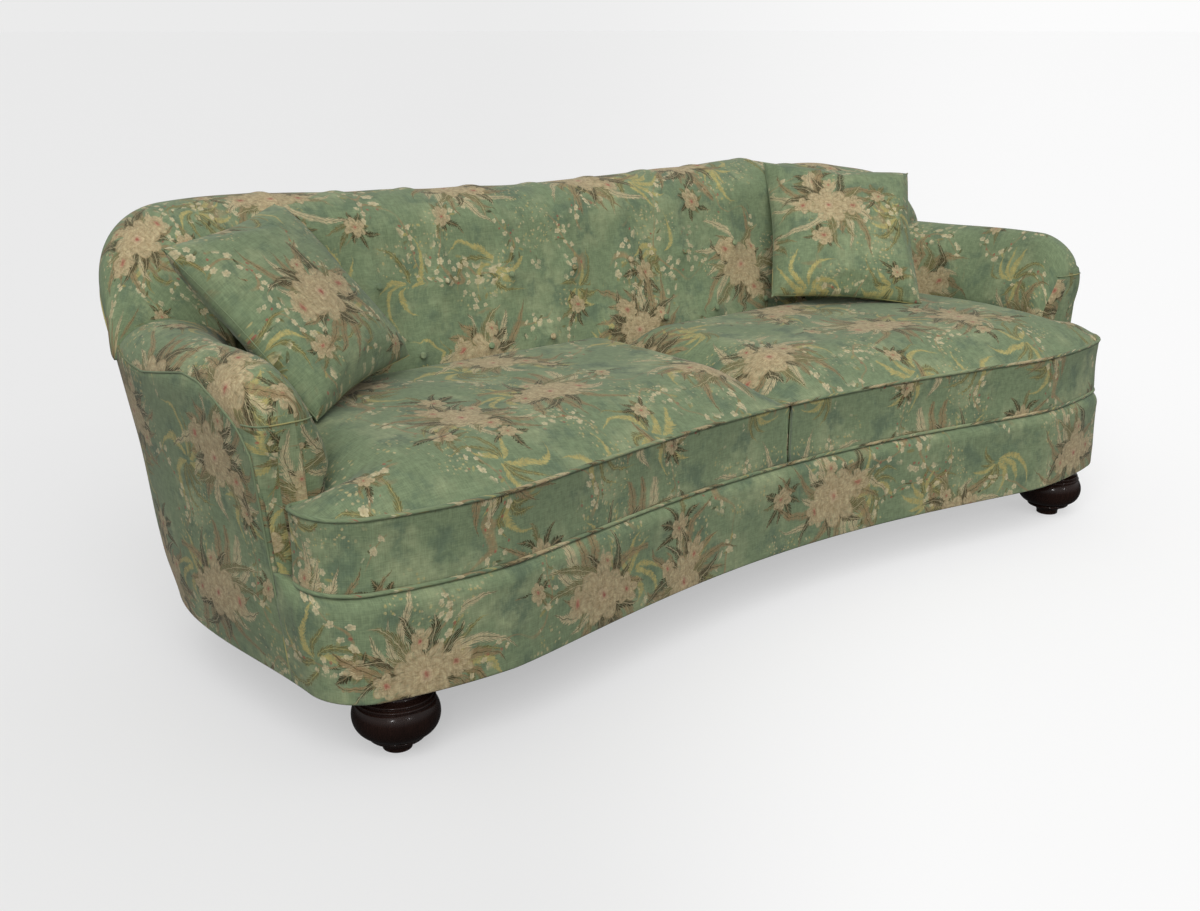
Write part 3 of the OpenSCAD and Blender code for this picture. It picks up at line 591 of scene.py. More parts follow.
def add_node(tree: bpy.types.NodeTree, kind: str, *inputs, out=0, **settings) -> Socket | None:
    """Add a node with its settings and links.

    Args:
        tree: The node tree.
        kind: A shader node's type after "ShaderNode", the name of a Math operation, or
            VECTOR_ and that of a Vector Math one.
        *inputs: Sockets or values for the node's inputs in their order; None leaves one.
        out: Name or place of the output to return, or None.
        **settings: The node's own settings, and its named inputs with _ for a space.

    Returns:
        The chosen output.
    """
    if kind.isupper():
        settings["operation"] = kind.removeprefix("VECTOR_")
        kind = "VectorMath" if kind.startswith("VECTOR_") else "Math"
    node = tree.nodes.new("ShaderNode" + kind)
    sockets = list(enumerate(inputs))
    for name, value in settings.items():
        if hasattr(node, name):
            setattr(node, name, value)
        else:
            sockets.append((name.replace("_", " "), value))
    for key, value in sockets:
        if isinstance(value, bpy.types.NodeSocket):
            tree.links.new(value, node.inputs[key])
        elif value is not None:
            node.inputs[key].default_value = value
    return None if out is None else node.outputs[out]


def new_material(name: str) -> tuple[bpy.types.Material, Add]:
    """Return a new empty material and the function that adds nodes to it."""
    material = bpy.data.materials.new(name)
    material.use_nodes = True
    material.node_tree.nodes.clear()
    return material, partial(add_node, material.node_tree)


@dataclass(frozen=True)
class Finish:
    """A material of the sofa, made of shader nodes."""

    name: str

    def surface(self, add: Add) -> Socket:
        """Return the material's shader."""
        raise NotImplementedError

    def mixed(self, add: Add, share: Socket, colours: tuple[str, str], height: Socket,
              bumps: tuple[float, float], **inputs: Socket | float) -> Socket:
        """Return the shader of a surface of two colours with fine relief.

        Args:
            add: Adds a node to the tree.
            share: Share of the second colour.
            colours: The two colours.
            height: Height of the relief.
            bumps: The relief's strength and its depth in metres.
            **inputs: Further inputs of the shader.
        """
        colour = add("MixRGB", share, *(linear(colour) for colour in colours))
        normal = add("Bump", Strength=bumps[0], Distance=bumps[1], Height=height)
        return add("BsdfPrincipled", Base_Color=colour, Normal=normal, **inputs)

    def build(self) -> bpy.types.Material:
        """Build the material."""
        material, add = new_material(self.name)
        add("OutputMaterial", self.surface(add), out=None)
        return material


@dataclass(frozen=True)
class Ring:
    """One ring of petals: its share of the flower's radius, petal count and colours.

    The line is the strength of the thin dark line at the petals' edge.
    """

    share: float
    petals: int
    depth: float
    pale: str
    deep: str
    line: float = 0.7


@dataclass(frozen=True)
class Flower:
    """A flower of a bouquet: its place and radius in metres and its rings."""

    x: float
    y: float
    radius: float
    rings: tuple[Ring, ...]


@dataclass(frozen=True)
class Fan:
    """Leaves that stand round a point, each with its own length, tint and bend.

    Lengths are in metres; gap is the share of the leaves that are left out, and sides
    keeps them to the left and right of the flower.
    """

    count: int
    start: float
    reach: float
    width: float
    teeth: float
    gap: float
    dark: str
    light: str
    edge: str
    sides: float = 0.0
    curl: float = 0.5


@dataclass(frozen=True)
class PrintedLinen(Finish):
    """Stonewashed linen with a faded garden print.

    Dyed plain-weave linen, printed and washed: the eye gets a matt cloth with slubs of a
    few millimetres along both thread directions, a mottled sage ground, and painterly
    bouquets, fronds and blossom twigs whose colours have sunk in unevenly. The threads of
    0.7 mm are too fine for the render and are drawn as slubs 2 mm wide. Gaps are in
    millimetres.
    """

    name: str = "printed_linen"
    ground: str = "#728162"
    ground_light: str = "#8b9572"
    ground_dark: str = "#5e6e58"
    olive: str = "#2f2c19"
    moss: str = "#63603c"
    ochre: str = "#a59a62"
    cream: str = "#b7a986"
    pearl: str = "#bfb594"
    tan: str = "#8f7b5a"
    rose: str = "#955347"
    blush: str = "#b1967a"
    bouquet_gap: float = 390
    posy_gap: float = 180
    frond_gap: float = 235
    blossom_gap: float = 21
    leaf_gap: float = 30
    seed_gap: float = 11
    slub: float = 2.0

    def surface(self, add: Add) -> Socket:
        """Return the material's shader."""
        uv = add("UVMap", uv_map=CLOTH_UV)
        p = self.shifted(add, uv, 6.0, 0.055)
        fine = self.shifted(add, p, 34.0, 0.011)
        colour = self.mottled_ground(add, uv)
        colour, stem = self.twigs(add, p, colour)
        colour = self.sprays(add, fine, colour)
        colour = self.fountains(add, fine, colour)
        colour = self.blossoms(add, p, colour, stem)
        colour = self.posies(add, fine, colour)
        colour = self.bouquets(add, fine, colour)
        wear = self.noise(add, uv, 70.0, 5.0, 0.7)
        wear = add("MapRange", wear, 0.35, 0.7, 0.88, 1.12)
        colour = add("VECTOR_MULTIPLY", colour, wear)
        height, tone = self.weave(add, uv)
        colour = add("VECTOR_MULTIPLY", colour, tone)
        normal = add("Bump", Strength=0.35, Distance=0.0006, Height=height)
        return add("BsdfPrincipled", Base_Color=colour, Roughness=0.92, Normal=normal,
                   Specular_IOR_Level=0.25, Sheen_Weight=0.1, Sheen_Roughness=0.5)

    def noise(self, add: Add, place: Socket, scale: float, detail: float, rough: float = 0.5,
              out: str | int = 0) -> Socket:
        """Add a flat noise over the print's coordinates."""
        return add("TexNoise", place, noise_dimensions="2D", Scale=scale, Detail=detail,
                   Roughness=rough, out=out)

    def shifted(self, add: Add, p: Socket, rate: float, size: float) -> Socket:
        """Move coordinates by a soft noise of a rate for each metre and a size in metres."""
        drift = self.noise(add, p, rate, 2.0, out="Color")
        drift = add("VECTOR_SUBTRACT", drift, (0.5, 0.5, 0.5))
        drift = add("VECTOR_MULTIPLY", drift, (size, size, 0.0))
        return add("VECTOR_ADD", p, drift)

    def weave(self, add: Add, uv: Socket) -> tuple[Socket, Socket]:
        """Return the height and the colour factor of the slubs of both thread directions."""
        rate = 1000 / self.slub
        noises = [self.noise(add, add("VECTOR_MULTIPLY", uv, (*way, 1.0)), 1.0, 2.0)
                  for way in ((rate, rate / 14), (rate / 14, rate))]
        height = add("ADD", *noises)
        return height, add("MapRange", height, 0.6, 1.4, 0.84, 1.14)

    def mottled_ground(self, add: Add, uv: Socket) -> Socket:
        """Return the ground: sage with lighter washed patches and darker sunk ones."""
        light = self.noise(add, uv, 8.0, 4.0, 0.6)
        light = add("MapRange", light, 0.45, 0.72, 0.0, 0.85, interpolation_type="SMOOTHSTEP")
        moved = add("VECTOR_ADD", uv, (3.1, 7.7, 0.0))
        dark = self.noise(add, moved, 13.0, 5.0, 0.65)
        dark = add("MapRange", dark, 0.48, 0.72, 0.0, 0.9, interpolation_type="SMOOTHSTEP")
        colour = add("MixRGB", light, linear(self.ground), linear(self.ground_light))
        return add("MixRGB", dark, colour, linear(self.ground_dark))

    def sunk(self, add: Add, p: Socket, mask: Socket, under: Socket, over, strength: float) -> Socket:
        """Lay one printed colour over another where a mask says, worn away in flecks."""
        fleck = self.noise(add, p, 150.0, 3.0, 0.7)
        fleck = add("MapRange", fleck, 0.32, 0.56, 0.4 * strength, strength)
        return add("MixRGB", add("MULTIPLY", mask, fleck), under, over)

    def cells(self, add: Add, p: Socket, gap: float, start: tuple[float, float, float],
              spread: float) -> tuple[Socket, Socket, Socket, Socket]:
        """Scatter places over the cloth, one to a cell.

        Args:
            add: Adds a node to the tree.
            p: The print's coordinates in metres.
            gap: Distance between the cells in millimetres.
            start: Where this layer's cells start.
            spread: How irregular the places are, 0 to 1.

        Returns:
            The offset from the nearest place in metres, and its three random numbers.
        """
        p = add("VECTOR_ADD", p, start)
        spot = add("TexVoronoi", p, voronoi_dimensions="2D", Scale=1000 / gap, Randomness=spread,
                   out="Position")
        offset = add("VECTOR_SUBTRACT", p, spot)
        luck = add("SeparateXYZ", spot.node.outputs["Color"]).node.outputs
        return offset, luck[0], luck[1], luck[2]

    def polar(self, add: Add, offset: Socket) -> tuple[Socket, Socket]:
        """Return the distance from a place and the angle round it."""
        x = add("SeparateXYZ", offset)
        return add("VECTOR_LENGTH", offset, out="Value"), add("ARCTAN2", x.node.outputs[1], x)

    def petals(self, add: Add, r: Socket, angle: Socket, radius, ring: Ring,
               seed: float) -> tuple[Socket, Socket]:
        """Return the mask and the colour of one ring of petals.

        The ring's edge is at radius share (1 - depth (1 - |sin(n angle / 2)|^0.6)). Its
        colour goes from deep at the base to pale at the tips, streaked along the petals,
        with a thin dark line at the edge.

        Args:
            add: Adds a node to the tree.
            r: Distance from the flower's middle in metres.
            angle: Angle round it.
            radius: The flower's radius in metres.
            ring: The ring's numbers and colours.
            seed: Turns the ring against the others.
        """
        lobe = add("SINE", add("MULTIPLY_ADD", angle, ring.petals / 2, seed))
        lobe = add("POWER", add("ABSOLUTE", lobe), 0.6)
        edge = add("MULTIPLY", add("MULTIPLY_ADD", lobe, ring.depth * ring.share,
                                   (1 - ring.depth) * ring.share), radius)
        t = add("DIVIDE", r, edge)
        streak = add("CombineXYZ", add("MULTIPLY", angle, 11.0), add("MULTIPLY", r, 60.0), seed)
        streak = add("TexNoise", streak, Scale=1.0, Detail=3.0)
        pale = add("MapRange", add("MULTIPLY_ADD", streak, 1.5, t), 1.0, 1.75)
        colour = add("MixRGB", pale, linear(ring.deep), linear(ring.pale))
        line = add("MapRange", t, 0.84, 0.98, 0.0, ring.line, interpolation_type="SMOOTHSTEP")
        return add("MapRange", t, 1.0, 0.95), add("MixRGB", line, colour, linear(self.tan))

    def flower(self, add: Add, p: Socket, colour: Socket, offset: Socket, flower: Flower,
               size: Socket) -> Socket:
        """Lay a flower's rings over a colour, the outer ring first."""
        offset = add("VECTOR_SUBTRACT", offset, (flower.x, flower.y, 0.0))
        r, angle = self.polar(add, offset)
        radius = add("MULTIPLY", size, flower.radius)
        for number, ring in enumerate(flower.rings):
            mask, tint = self.petals(add, r, angle, radius, ring, 1.7 * number + 40 * flower.x)
            colour = self.sunk(add, p, mask, colour, tint, 0.95)
        return colour

    def fan(self, add: Add, p: Socket, colour: Socket, offset: Socket, luck: Socket, fan: Fan,
            size: Socket) -> Socket:
        """Lay a fan of toothed leaves over a colour.

        The angle is cut into equal sectors. Each holds one leaf along its middle, whose
        half width is width sin(pi s^0.7) (1 - 0.5 frac(teeth s - slant |t|)), with s along
        the leaf from 0 to 1 and t across it.

        Args:
            add: Adds a node to the tree.
            p: The print's coordinates in metres.
            colour: The colour beneath.
            offset: Offset from the middle in metres.
            luck: The place's random number.
            fan: The fan's numbers and colours.
            size: Scale of this fan.
        """
        r, angle = self.polar(add, offset)
        bent = add("MULTIPLY_ADD", r, fan.curl * 9, angle)
        sector = add("MULTIPLY", add("ADD", bent, luck), fan.count / (2 * math.pi))
        key = add("CombineXYZ", add("FLOOR", sector), add("MULTIPLY", luck, 57.0), 0.0)
        own = add("TexWhiteNoise", key, noise_dimensions="2D", out="Color")
        own = add("SeparateXYZ", own).node.outputs
        reach = add("MULTIPLY", add("MULTIPLY_ADD", own[0], 0.5 * fan.reach, 0.5 * fan.reach), size)
        s = add("DIVIDE", add("SUBTRACT", r, fan.start), add("SUBTRACT", reach, fan.start))
        s = add("MINIMUM", add("MAXIMUM", s, 0.0), 1.0)
        sweep = add("MULTIPLY", add("MULTIPLY", add("SUBTRACT", own[1], 0.5), s), 0.5)
        t = add("ADD", add("SUBTRACT", add("FRACT", sector), 0.5), sweep)
        across = add("ABSOLUTE", add("MULTIPLY", add("MULTIPLY", t, r), 2 * math.pi / fan.count))
        body = add("SINE", add("MULTIPLY", add("POWER", s, 0.7), math.pi))
        tooth = add("FRACT", add("MULTIPLY_ADD", across, -320.0, add("MULTIPLY", s, fan.teeth)))
        edge = add("MULTIPLY", body, add("MULTIPLY_ADD", tooth, -0.5 * fan.width, fan.width))
        mask = add("MapRange", add("SUBTRACT", edge, across), 0.0, 0.0014)
        keep = add("MULTIPLY_ADD", add("ABSOLUTE", add("COSINE", angle)), fan.sides, own[2])
        mask = add("MULTIPLY", mask, add("GREATER_THAN", keep, fan.gap + fan.sides * 0.6))
        tint = add("MixRGB", add("GREATER_THAN", own[1], 0.6), linear(fan.dark), linear(fan.light))
        vein = add("MAXIMUM", add("MapRange", across, 0.0012, 0.0005),
                   add("MapRange", tooth, 0.22, 0.1, 0.0, 0.8))
        tint = add("MixRGB", add("MULTIPLY", vein, 0.75), tint, linear(fan.edge))
        return self.sunk(add, p, mask, colour, tint, 0.95)

    def twigs(self, add: Add, p: Socket, colour: Socket) -> tuple[Socket, Socket]:
        """Draw thin wandering twigs, the level lines of a soft noise.

        Returns:
            The mixed colour, and how far the level is from a twig's.
        """
        moved = add("VECTOR_ADD", p, (5.3, 1.9, 0.0))
        level = self.noise(add, moved, 4.2, 1.2)
        away = add("ABSOLUTE", add("SUBTRACT", level, 0.5))
        mask = add("MapRange", away, 0.0065, 0.003)
        gate = self.noise(add, p, 5.0, 1.0)
        gate = add("MapRange", gate, 0.37, 0.45)
        mask = add("MULTIPLY", mask, gate)
        away = add("ADD", add("SUBTRACT", 1.0, gate), away)
        return self.sunk(add, p, mask, colour, linear(self.tan), 0.85), away

    def blossoms(self, add: Add, p: Socket, colour: Socket, away: Socket) -> Socket:
        """Scatter leaves, five-petalled blossoms and buds beside the twigs."""
        near = add("MapRange", away, 0.06, 0.04)
        offset, one, two, three = self.cells(add, p, self.leaf_gap, (0.3, 0.7, 0.0), 0.9)
        turned = add("VectorRotate", offset, rotation_type="Z_AXIS", Angle=add("MULTIPLY", one, 6.28))
        x = add("SeparateXYZ", turned)
        long = add("MULTIPLY", x, 110.0)
        wide = add("MULTIPLY", x.node.outputs[1], 330.0)
        leaf = add("ADD", add("MULTIPLY", long, long), add("MULTIPLY", wide, wide))
        leaf = add("MULTIPLY", add("MapRange", leaf, 1.0, 0.75), near)
        leaf = add("MULTIPLY", leaf, add("LESS_THAN", three, 0.6))
        tint = add("MixRGB", two, linear(self.olive), linear(self.ochre))
        colour = self.sunk(add, p, leaf, colour, tint, 0.85)
        offset, one, two, three = self.cells(add, p, self.blossom_gap, (0.0, 0.0, 0.0), 0.8)
        r, angle = self.polar(add, offset)
        radius = add("MULTIPLY_ADD", two, 0.004, 0.0055)
        ring = Ring(1.0, 5, 0.4, self.pearl, self.cream, 0.1)
        mask, tint = self.petals(add, r, angle, radius, ring, 0.0)
        mask = add("MULTIPLY", mask, add("MULTIPLY", near, add("LESS_THAN", three, 0.62)))
        colour = self.sunk(add, p, mask, colour, tint, 0.95)
        bud = add("MULTIPLY", add("MapRange", r, 0.0036, 0.0024), near)
        bud = add("MULTIPLY", bud, add("GREATER_THAN", three, 0.82))
        return self.sunk(add, p, bud, colour, linear(self.rose), 0.85)

    def sprays(self, add: Add, p: Socket, colour: Socket) -> Socket:
        """Scatter patches of fine seed heads, each a dot of 4 to 8 mm."""
        offset, one, two, three = self.cells(add, p, self.seed_gap, (0.5, 0.1, 0.0), 0.9)
        patch = self.noise(add, add("VECTOR_ADD", p, (8.7, 2.2, 0.0)), 6.5, 1.0)
        patch = add("MapRange", patch, 0.56, 0.6)
        r = self.polar(add, offset)[0]
        radius = add("MULTIPLY_ADD", two, 0.002, 0.0018)
        dot = add("MapRange", add("DIVIDE", r, radius), 1.0, 0.7)
        dot = add("MULTIPLY", add("MULTIPLY", dot, patch), add("LESS_THAN", three, 0.6))
        tint = add("MixRGB", one, linear(self.cream), linear(self.ochre))
        return self.sunk(add, p, dot, colour, tint, 0.8)

    def fountains(self, add: Add, p: Socket, colour: Socket) -> Socket:
        """Scatter fountains of narrow arching fronds."""
        offset, one, two, three = self.cells(add, p, self.frond_gap, (0.83, 0.17, 0.0), 0.5)
        size = add("MULTIPLY_ADD", two, 0.4, 0.8)
        size = add("MULTIPLY", size, add("LESS_THAN", three, 0.82))
        size = add("MAXIMUM", size, 0.05)
        fronds = Fan(12, 0.006, 0.125, 0.0105, 15, 0.35, self.ochre, self.moss, self.ochre, 0.0, 1.3)
        return self.fan(add, p, colour, offset, one, fronds, size)

    def posies(self, add: Add, p: Socket, colour: Socket) -> Socket:
        """Scatter small flowers with a few leaves."""
        outer = (self.cream, self.tan)
        rings = (Ring(1.0, 6, 0.4, *outer), Ring(0.6, 5, 0.35, *outer),
                 Ring(0.2, 4, 0.3, self.blush, self.rose))
        offset, one, two, three = self.cells(add, p, self.posy_gap, (0.21, 0.43, 0.0), 0.6)
        far = add("MULTIPLY", add("GREATER_THAN", three, 0.55), 9.0)
        offset = add("VECTOR_ADD", offset, far)
        size = add("MULTIPLY_ADD", two, 0.5, 0.75)
        leaves = Fan(9, 0.010, 0.068, 0.0105, 7, 0.2, self.olive, self.moss, self.tan)
        colour = self.fan(add, p, colour, offset, one, leaves, size)
        return self.flower(add, p, colour, offset, Flower(0, 0, 0.025, rings), size)

    def bouquets(self, add: Add, p: Socket, colour: Socket) -> Socket:
        """Lay the large bouquets: two fans of leaves, then flowers from back to front."""
        outer, heart = (self.cream, self.tan), (self.blush, self.rose)
        large = (Ring(1.0, 7, 0.34, *outer), Ring(0.74, 6, 0.34, *outer), Ring(0.5, 5, 0.34, *outer),
                 Ring(0.28, 4, 0.35, self.cream, self.blush), Ring(0.12, 3, 0.3, *heart))
        small = (Ring(1.0, 6, 0.4, *outer), Ring(0.62, 5, 0.36, *outer), Ring(0.26, 4, 0.3, *heart))
        offset, one, two, _ = self.cells(add, p, self.bouquet_gap, (0.0, 0.0, 0.0), 0.4)
        tilt = add("MULTIPLY", add("SUBTRACT", one, 0.5), 1.3)
        offset = add("VectorRotate", offset, rotation_type="Z_AXIS", Angle=tilt)
        size = add("MULTIPLY_ADD", two, 0.25, 0.98)
        pale = Fan(19, 0.02, 0.178, 0.0165, 13, 0.2, self.tan, self.cream, self.olive, 0.7)
        dark = Fan(13, 0.015, 0.14, 0.0185, 10, 0.15, self.olive, self.moss, self.cream, 0.4, -0.5)
        for leaves in (pale, dark):
            colour = self.fan(add, p, colour, offset, one, leaves, size)
        for flower in (Flower(0.056, 0.036, 0.030, small), Flower(-0.052, -0.042, 0.026, small),
                       Flower(-0.030, 0.060, 0.018, small), Flower(0.0, 0.0, 0.055, large)):
            colour = self.flower(add, p, colour, offset, flower, size)
        return colour


@dataclass(frozen=True)
class PolishedWood(Finish):
    """Dark stained beech, turned on a lathe and lacquered.

    The eye gets a nearly black brown with a faint redder grain that runs up the foot, and
    a smooth lacquer with clear highlights.
    """

    name: str = "lacquered_beech"
    dark: str = "#1a100d"
    light: str = "#2a1a15"
    grain_mm: float = 1.6

    def surface(self, add: Add) -> Socket:
        """Return the material's shader."""
        place = add("TexCoord", out="Object")
        rate = 1000 / self.grain_mm
        along = add("VECTOR_MULTIPLY", place, (rate, rate, rate / 18))
        grain = add("TexNoise", along, Scale=1.0, Detail=4.0, Roughness=0.6)
        cloud = add("TexNoise", place, Scale=9.0, Detail=2.0)
        share = add("MULTIPLY", grain, add("MapRange", cloud, 0.3, 0.7, 0.6, 1.3))
        share = add("MapRange", share, 0.3, 0.75)
        rough = add("MapRange", grain, 0.3, 0.7, 0.22, 0.32)
        return self.mixed(add, share, (self.dark, self.light), grain, (0.08, 0.0003), Roughness=rough,
                          Specular_IOR_Level=0.3, Coat_Weight=0.5, Coat_Roughness=0.09)


@dataclass(frozen=True)
class FrameTimber(Finish):
    """Planed beech and birch rails, unfinished inside the covers.

    The eye gets a pale matt wood with straight grain 2 mm wide and small brown pores.
    """

    name: str = "planed_beech"
    pale: str = "#c9a97c"
    brown: str = "#a88356"

    def surface(self, add: Add) -> Socket:
        """Return the material's shader."""
        place = add("TexCoord", out="Object")
        along = add("VECTOR_MULTIPLY", place, (30.0, 500.0, 500.0))
        grain = add("TexNoise", along, Scale=1.0, Detail=3.0)
        band = add("TexNoise", place, Scale=14.0, Detail=3.0)
        share = add("MapRange", add("ADD", grain, band), 0.7, 1.3)
        return self.mixed(add, share, (self.pale, self.brown), grain, (0.3, 0.0004), Roughness=0.7)


@dataclass(frozen=True)
class DrawnSteel(Finish):
    """Drawn and zinc-plated steel, of the springs, clips and bolts.

    The eye gets a grey metal with a patchy plating.
    """

    name: str
    tone: str
    rough: float
    worn: str = "#8d8f92"

    def surface(self, add: Add) -> Socket:
        """Return the material's shader."""
        patch = add("TexNoise", add("TexCoord", out="Object"), Scale=160.0, Detail=3.0)
        rough = add("MapRange", patch, 0.3, 0.7, self.rough, self.rough + 0.15)
        return self.mixed(add, patch, (self.tone, self.worn), patch, (0.1, 0.0002), Roughness=rough,
                          Metallic=1.0)


@dataclass(frozen=True)
class PlainCloth(Finish):
    """Plain woven cloth: the black base lining, the deck cover and the jute webbing.

    The eye gets a matt weave whose threads are drawn at their own spacing.
    """

    name: str
    pale: str
    deep: str
    thread_mm: float

    def surface(self, add: Add) -> Socket:
        """Return the shader: a weave of sin(x) sin(y) over the thread spacing, and noise."""
        place = add("TexCoord", out="Object")
        x = add("SeparateXYZ", place)
        rate = math.pi * 1000 / self.thread_mm
        waves = [add("SINE", add("MULTIPLY", x.node.outputs[k], rate)) for k in range(2)]
        fuzz = add("TexNoise", place, Scale=220.0, Detail=3.0)
        height = add("MULTIPLY_ADD", add("MULTIPLY", *waves), 0.3, fuzz)
        share = add("MapRange", height, 0.2, 0.8)
        return self.mixed(add, share, (self.deep, self.pale), height, (0.4, 0.0005), Roughness=0.95)


@dataclass(frozen=True)
class Finishes:
    """The sofa's materials."""

    linen: bpy.types.Material
    wood: bpy.types.Material
    timber: bpy.types.Material
    spring: bpy.types.Material
    bolt: bpy.types.Material
    jute: bpy.types.Material
    lining: bpy.types.Material

    @classmethod
    def make(cls) -> "Finishes":
        """Build every material."""
        return cls(
            linen=PrintedLinen().build(),
            wood=PolishedWood().build(),
            timber=FrameTimber().build(),
            spring=DrawnSteel("drawn_spring_steel", "#6f7276", 0.35).build(),
            bolt=DrawnSteel("zinc_plated_steel", "#a9adb1", 0.28).build(),
            jute=PlainCloth("jute_webbing", "#b09a6c", "#7a6642", 2.4).build(),
            lining=PlainCloth("black_base_lining", "#2a2a2c", "#141416", 1.6).build(),
        )


def dress(piece: bpy.types.Object, material: bpy.types.Material, body: str = "frame",
          nodes: tuple[str, ...] = ()) -> None:
    """Give a piece its material and body, and hide the CAD nodes that it replaces.

    Args:
        piece: The new piece.
        material: Its material.
        body: The body that it rides on.
        nodes: CAD nodes that it replaces.
    """
    piece.data.materials.clear()
    piece.data.materials.append(material)
    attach(piece, body)
    if nodes:
        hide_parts(*nodes)
    LOG.info("%s: %d faces", piece.name, len(piece.data.polygons))


# Covers


@dataclass
class OutsideCovers:
    """The padded covers of the base, the arms' outsides and the outside of the back."""

    plan: Plan
    finishes: Finishes
    hem_round: float = 5
    edge_r: float = 22
    edge_w: float = 60
    skin_t: float = 12
    seam_cord: float = 2.0
    rows: int = 46
    belly: float = 7.0
    panel_wave: float = 1.6
    border_wave: float = 1.4

    def hem_rows(self) -> tuple[Array, Array]:
        """Return the turned-in hem, a quarter circle, as distances and heights."""
        a = np.linspace(-math.pi / 2, 0, 7)
        r = self.hem_round * (np.cos(a) - 1)
        z = SIZE.hem_z + self.hem_round * (1 + np.sin(a))
        return r, z

    def outer_r(self, st: Stations, z: Array) -> Array:
        """Return the outside's distance from the hem at a height on the arm.

        It is 0 up to the roll and then a quarter ellipse in to the middle of the arm.
        """
        top = self.plan.arm_top(st)
        mid = 0.5 * self.plan.inner_r(st, SIZE.roll_z)
        lift = np.clip((z - SIZE.roll_z) / (top - SIZE.roll_z), 0, 0.98)
        return np.where(z > SIZE.roll_z, mid * (1 - np.sqrt(1 - lift ** 2)), 0.0)

    def arm_seam_z(self, y: Array) -> Array:
        """Return the height of the arm's outer seam, smooth through its places by y."""
        places = np.array([-298, -292, -282, -262, -235, -200, -150, -90, -20, 70, 150, 230, 300])
        heights = np.array([548, 566, 584, 604, 621, 638, 655, 660, 648, 632, 636, 652, 668])
        fine = np.linspace(places[0], places[-1], 240)
        smooth = np.interp(fine, places, heights)
        kernel = bump(np.linspace(-1, 1, 15), 0.6)
        smooth = np.convolve(np.pad(smooth, 7, mode="edge"), kernel / kernel.sum(), "valid")
        return np.interp(y, fine, smooth)

    def panel(self, st: Stations, top: Array) -> Array:
        """Return the closed sections of a panel from the hem up to a top height.

        Args:
            st: The stations.
            top: Height of the panel's top at each station.
        """
        hem_r, hem_z = self.hem_rows()
        share = np.linspace(0, 1, self.rows + 1)[None, 1:]
        z = np.concatenate([hem_z + 0 * top, lerp(hem_z[-1], top, share)], 1)
        r = np.concatenate([hem_r + 0 * top, np.zeros((len(st), self.rows))], 1)
        arm = st.turn < SIZE.wing_end
        r = r + np.where(arm, self.outer_r(st, z), 0.0)
        full = np.where(st.turn < 60, self.belly, 0.0) * ease((z - SIZE.hem_z) / 110)
        full = full * ease((480 - z) / 200)
        wave = full * ease((st.y - SIZE.seam_y) / 60) * ease((60 - st.turn) / 30)
        fade = ease((z - 160) / 60) * ease((top - z) / 60)
        wave = wave + undulation(st.x + st.y, z, 260, 11) * self.panel_wave * fade
        outer = st.place(r + wave, z)
        inner = st.place(r - self.skin_t, z)[:, ::-1]
        return np.concatenate([outer, inner], 1)

    def outside_arm(self, side: Side) -> bpy.types.Object:
        """Build the outside panel of one arm, from its front seam round to the back."""
        plan = self.plan
        st = plan.side(np.linspace(SIZE.seam_y, 0, 40)).joined(plan.rear(np.linspace(0, 90, 70)[1:]))
        high = np.maximum(plan.seam_height(st), SIZE.roll_z)
        top = lerp(self.arm_seam_z(st.y), high, ease((st.turn - SIZE.wing_end) / 5))
        cloth = Cloth(0.35, 0.0) if side is Side.LEFT else Cloth(2.1, 0.3)
        return skin_piece("outside_arm_cover_" + side.word, side.mirror(self.panel(st, top)), cloth)

    def outside_back(self) -> bpy.types.Object:
        """Build the outside panel of the back."""
        st = self.plan.back(np.linspace(-SIZE.rear_x + 0.4, SIZE.rear_x - 0.4, 120))
        sections = self.panel(st, np.full((len(st), 1), SIZE.seam_z))
        return skin_piece("outside_back_cover", sections, Cloth(4.0, 0.0))

    def border(self) -> bpy.types.Object:
        """Build the front border, from one arm's seam round the front to the other's.

        Its section is the hem, a straight face and an edge of edge_r that turns in over the
        rail. Near the arms' seams the edge runs straight up under the arm's front instead.
        """
        plan = self.plan
        half = plan.front(SIZE.base_half, SIZE.base_corner_r, SIZE.lobe_y, step=9, lean=SIZE.flare)
        half = half.joined(plan.side(np.linspace(plan.corner_y, SIZE.seam_y - 0.4, 12)[1:]))
        st = half.mirrored().joined(Stations(*(field[1:] for field in half.fields)))
        hem_r, hem_z = self.hem_rows()
        up = np.linspace(0, 1, 22)[None, 1:]
        lift = np.where(np.abs(st.nx) > 0.9999, ease((st.y + 345) / 42), 0.0)
        edge_h = self.edge_r * 1.25
        flat = SIZE.deck_z - edge_h
        a = np.linspace(0, math.pi / 2, 12)[None, 1:]
        edge_r = lerp(-self.edge_r * (1 - np.cos(a)), -2.0, lift)
        edge_z = lerp(flat + edge_h * np.sin(a), flat + 50 * a / a.max(), lift)
        over = np.linspace(0, 1, 5)[None, 1:]
        r = np.concatenate([hem_r + 0 * lift, 0 * up + 0 * lift, edge_r,
                            lerp(edge_r[:, -1:], -self.edge_w, over)], 1)
        z = np.concatenate([hem_z + 0 * lift, lerp(hem_z[-1], flat, up) + 0 * lift, edge_z,
                            lerp(edge_z[:, -1:], SIZE.deck_z, over)], 1)
        wave = undulation(st.x, z, 240, 5) * self.border_wave * ease((z - 150) / 40)
        wave = wave * ease((flat + 10 - z) / 30)
        outer = st.place(r + wave, z)
        inner_z = np.minimum(z, SIZE.deck_z - 22)
        inner = st.place(np.minimum(r - self.skin_t, -self.skin_t) + 0 * z, inner_z)[:, ::-1]
        middle = len(half) - 1
        return skin_piece("front_border_cover", np.concatenate([outer, inner], 1),
                          Cloth(1.13, 0.05), (middle, 0))

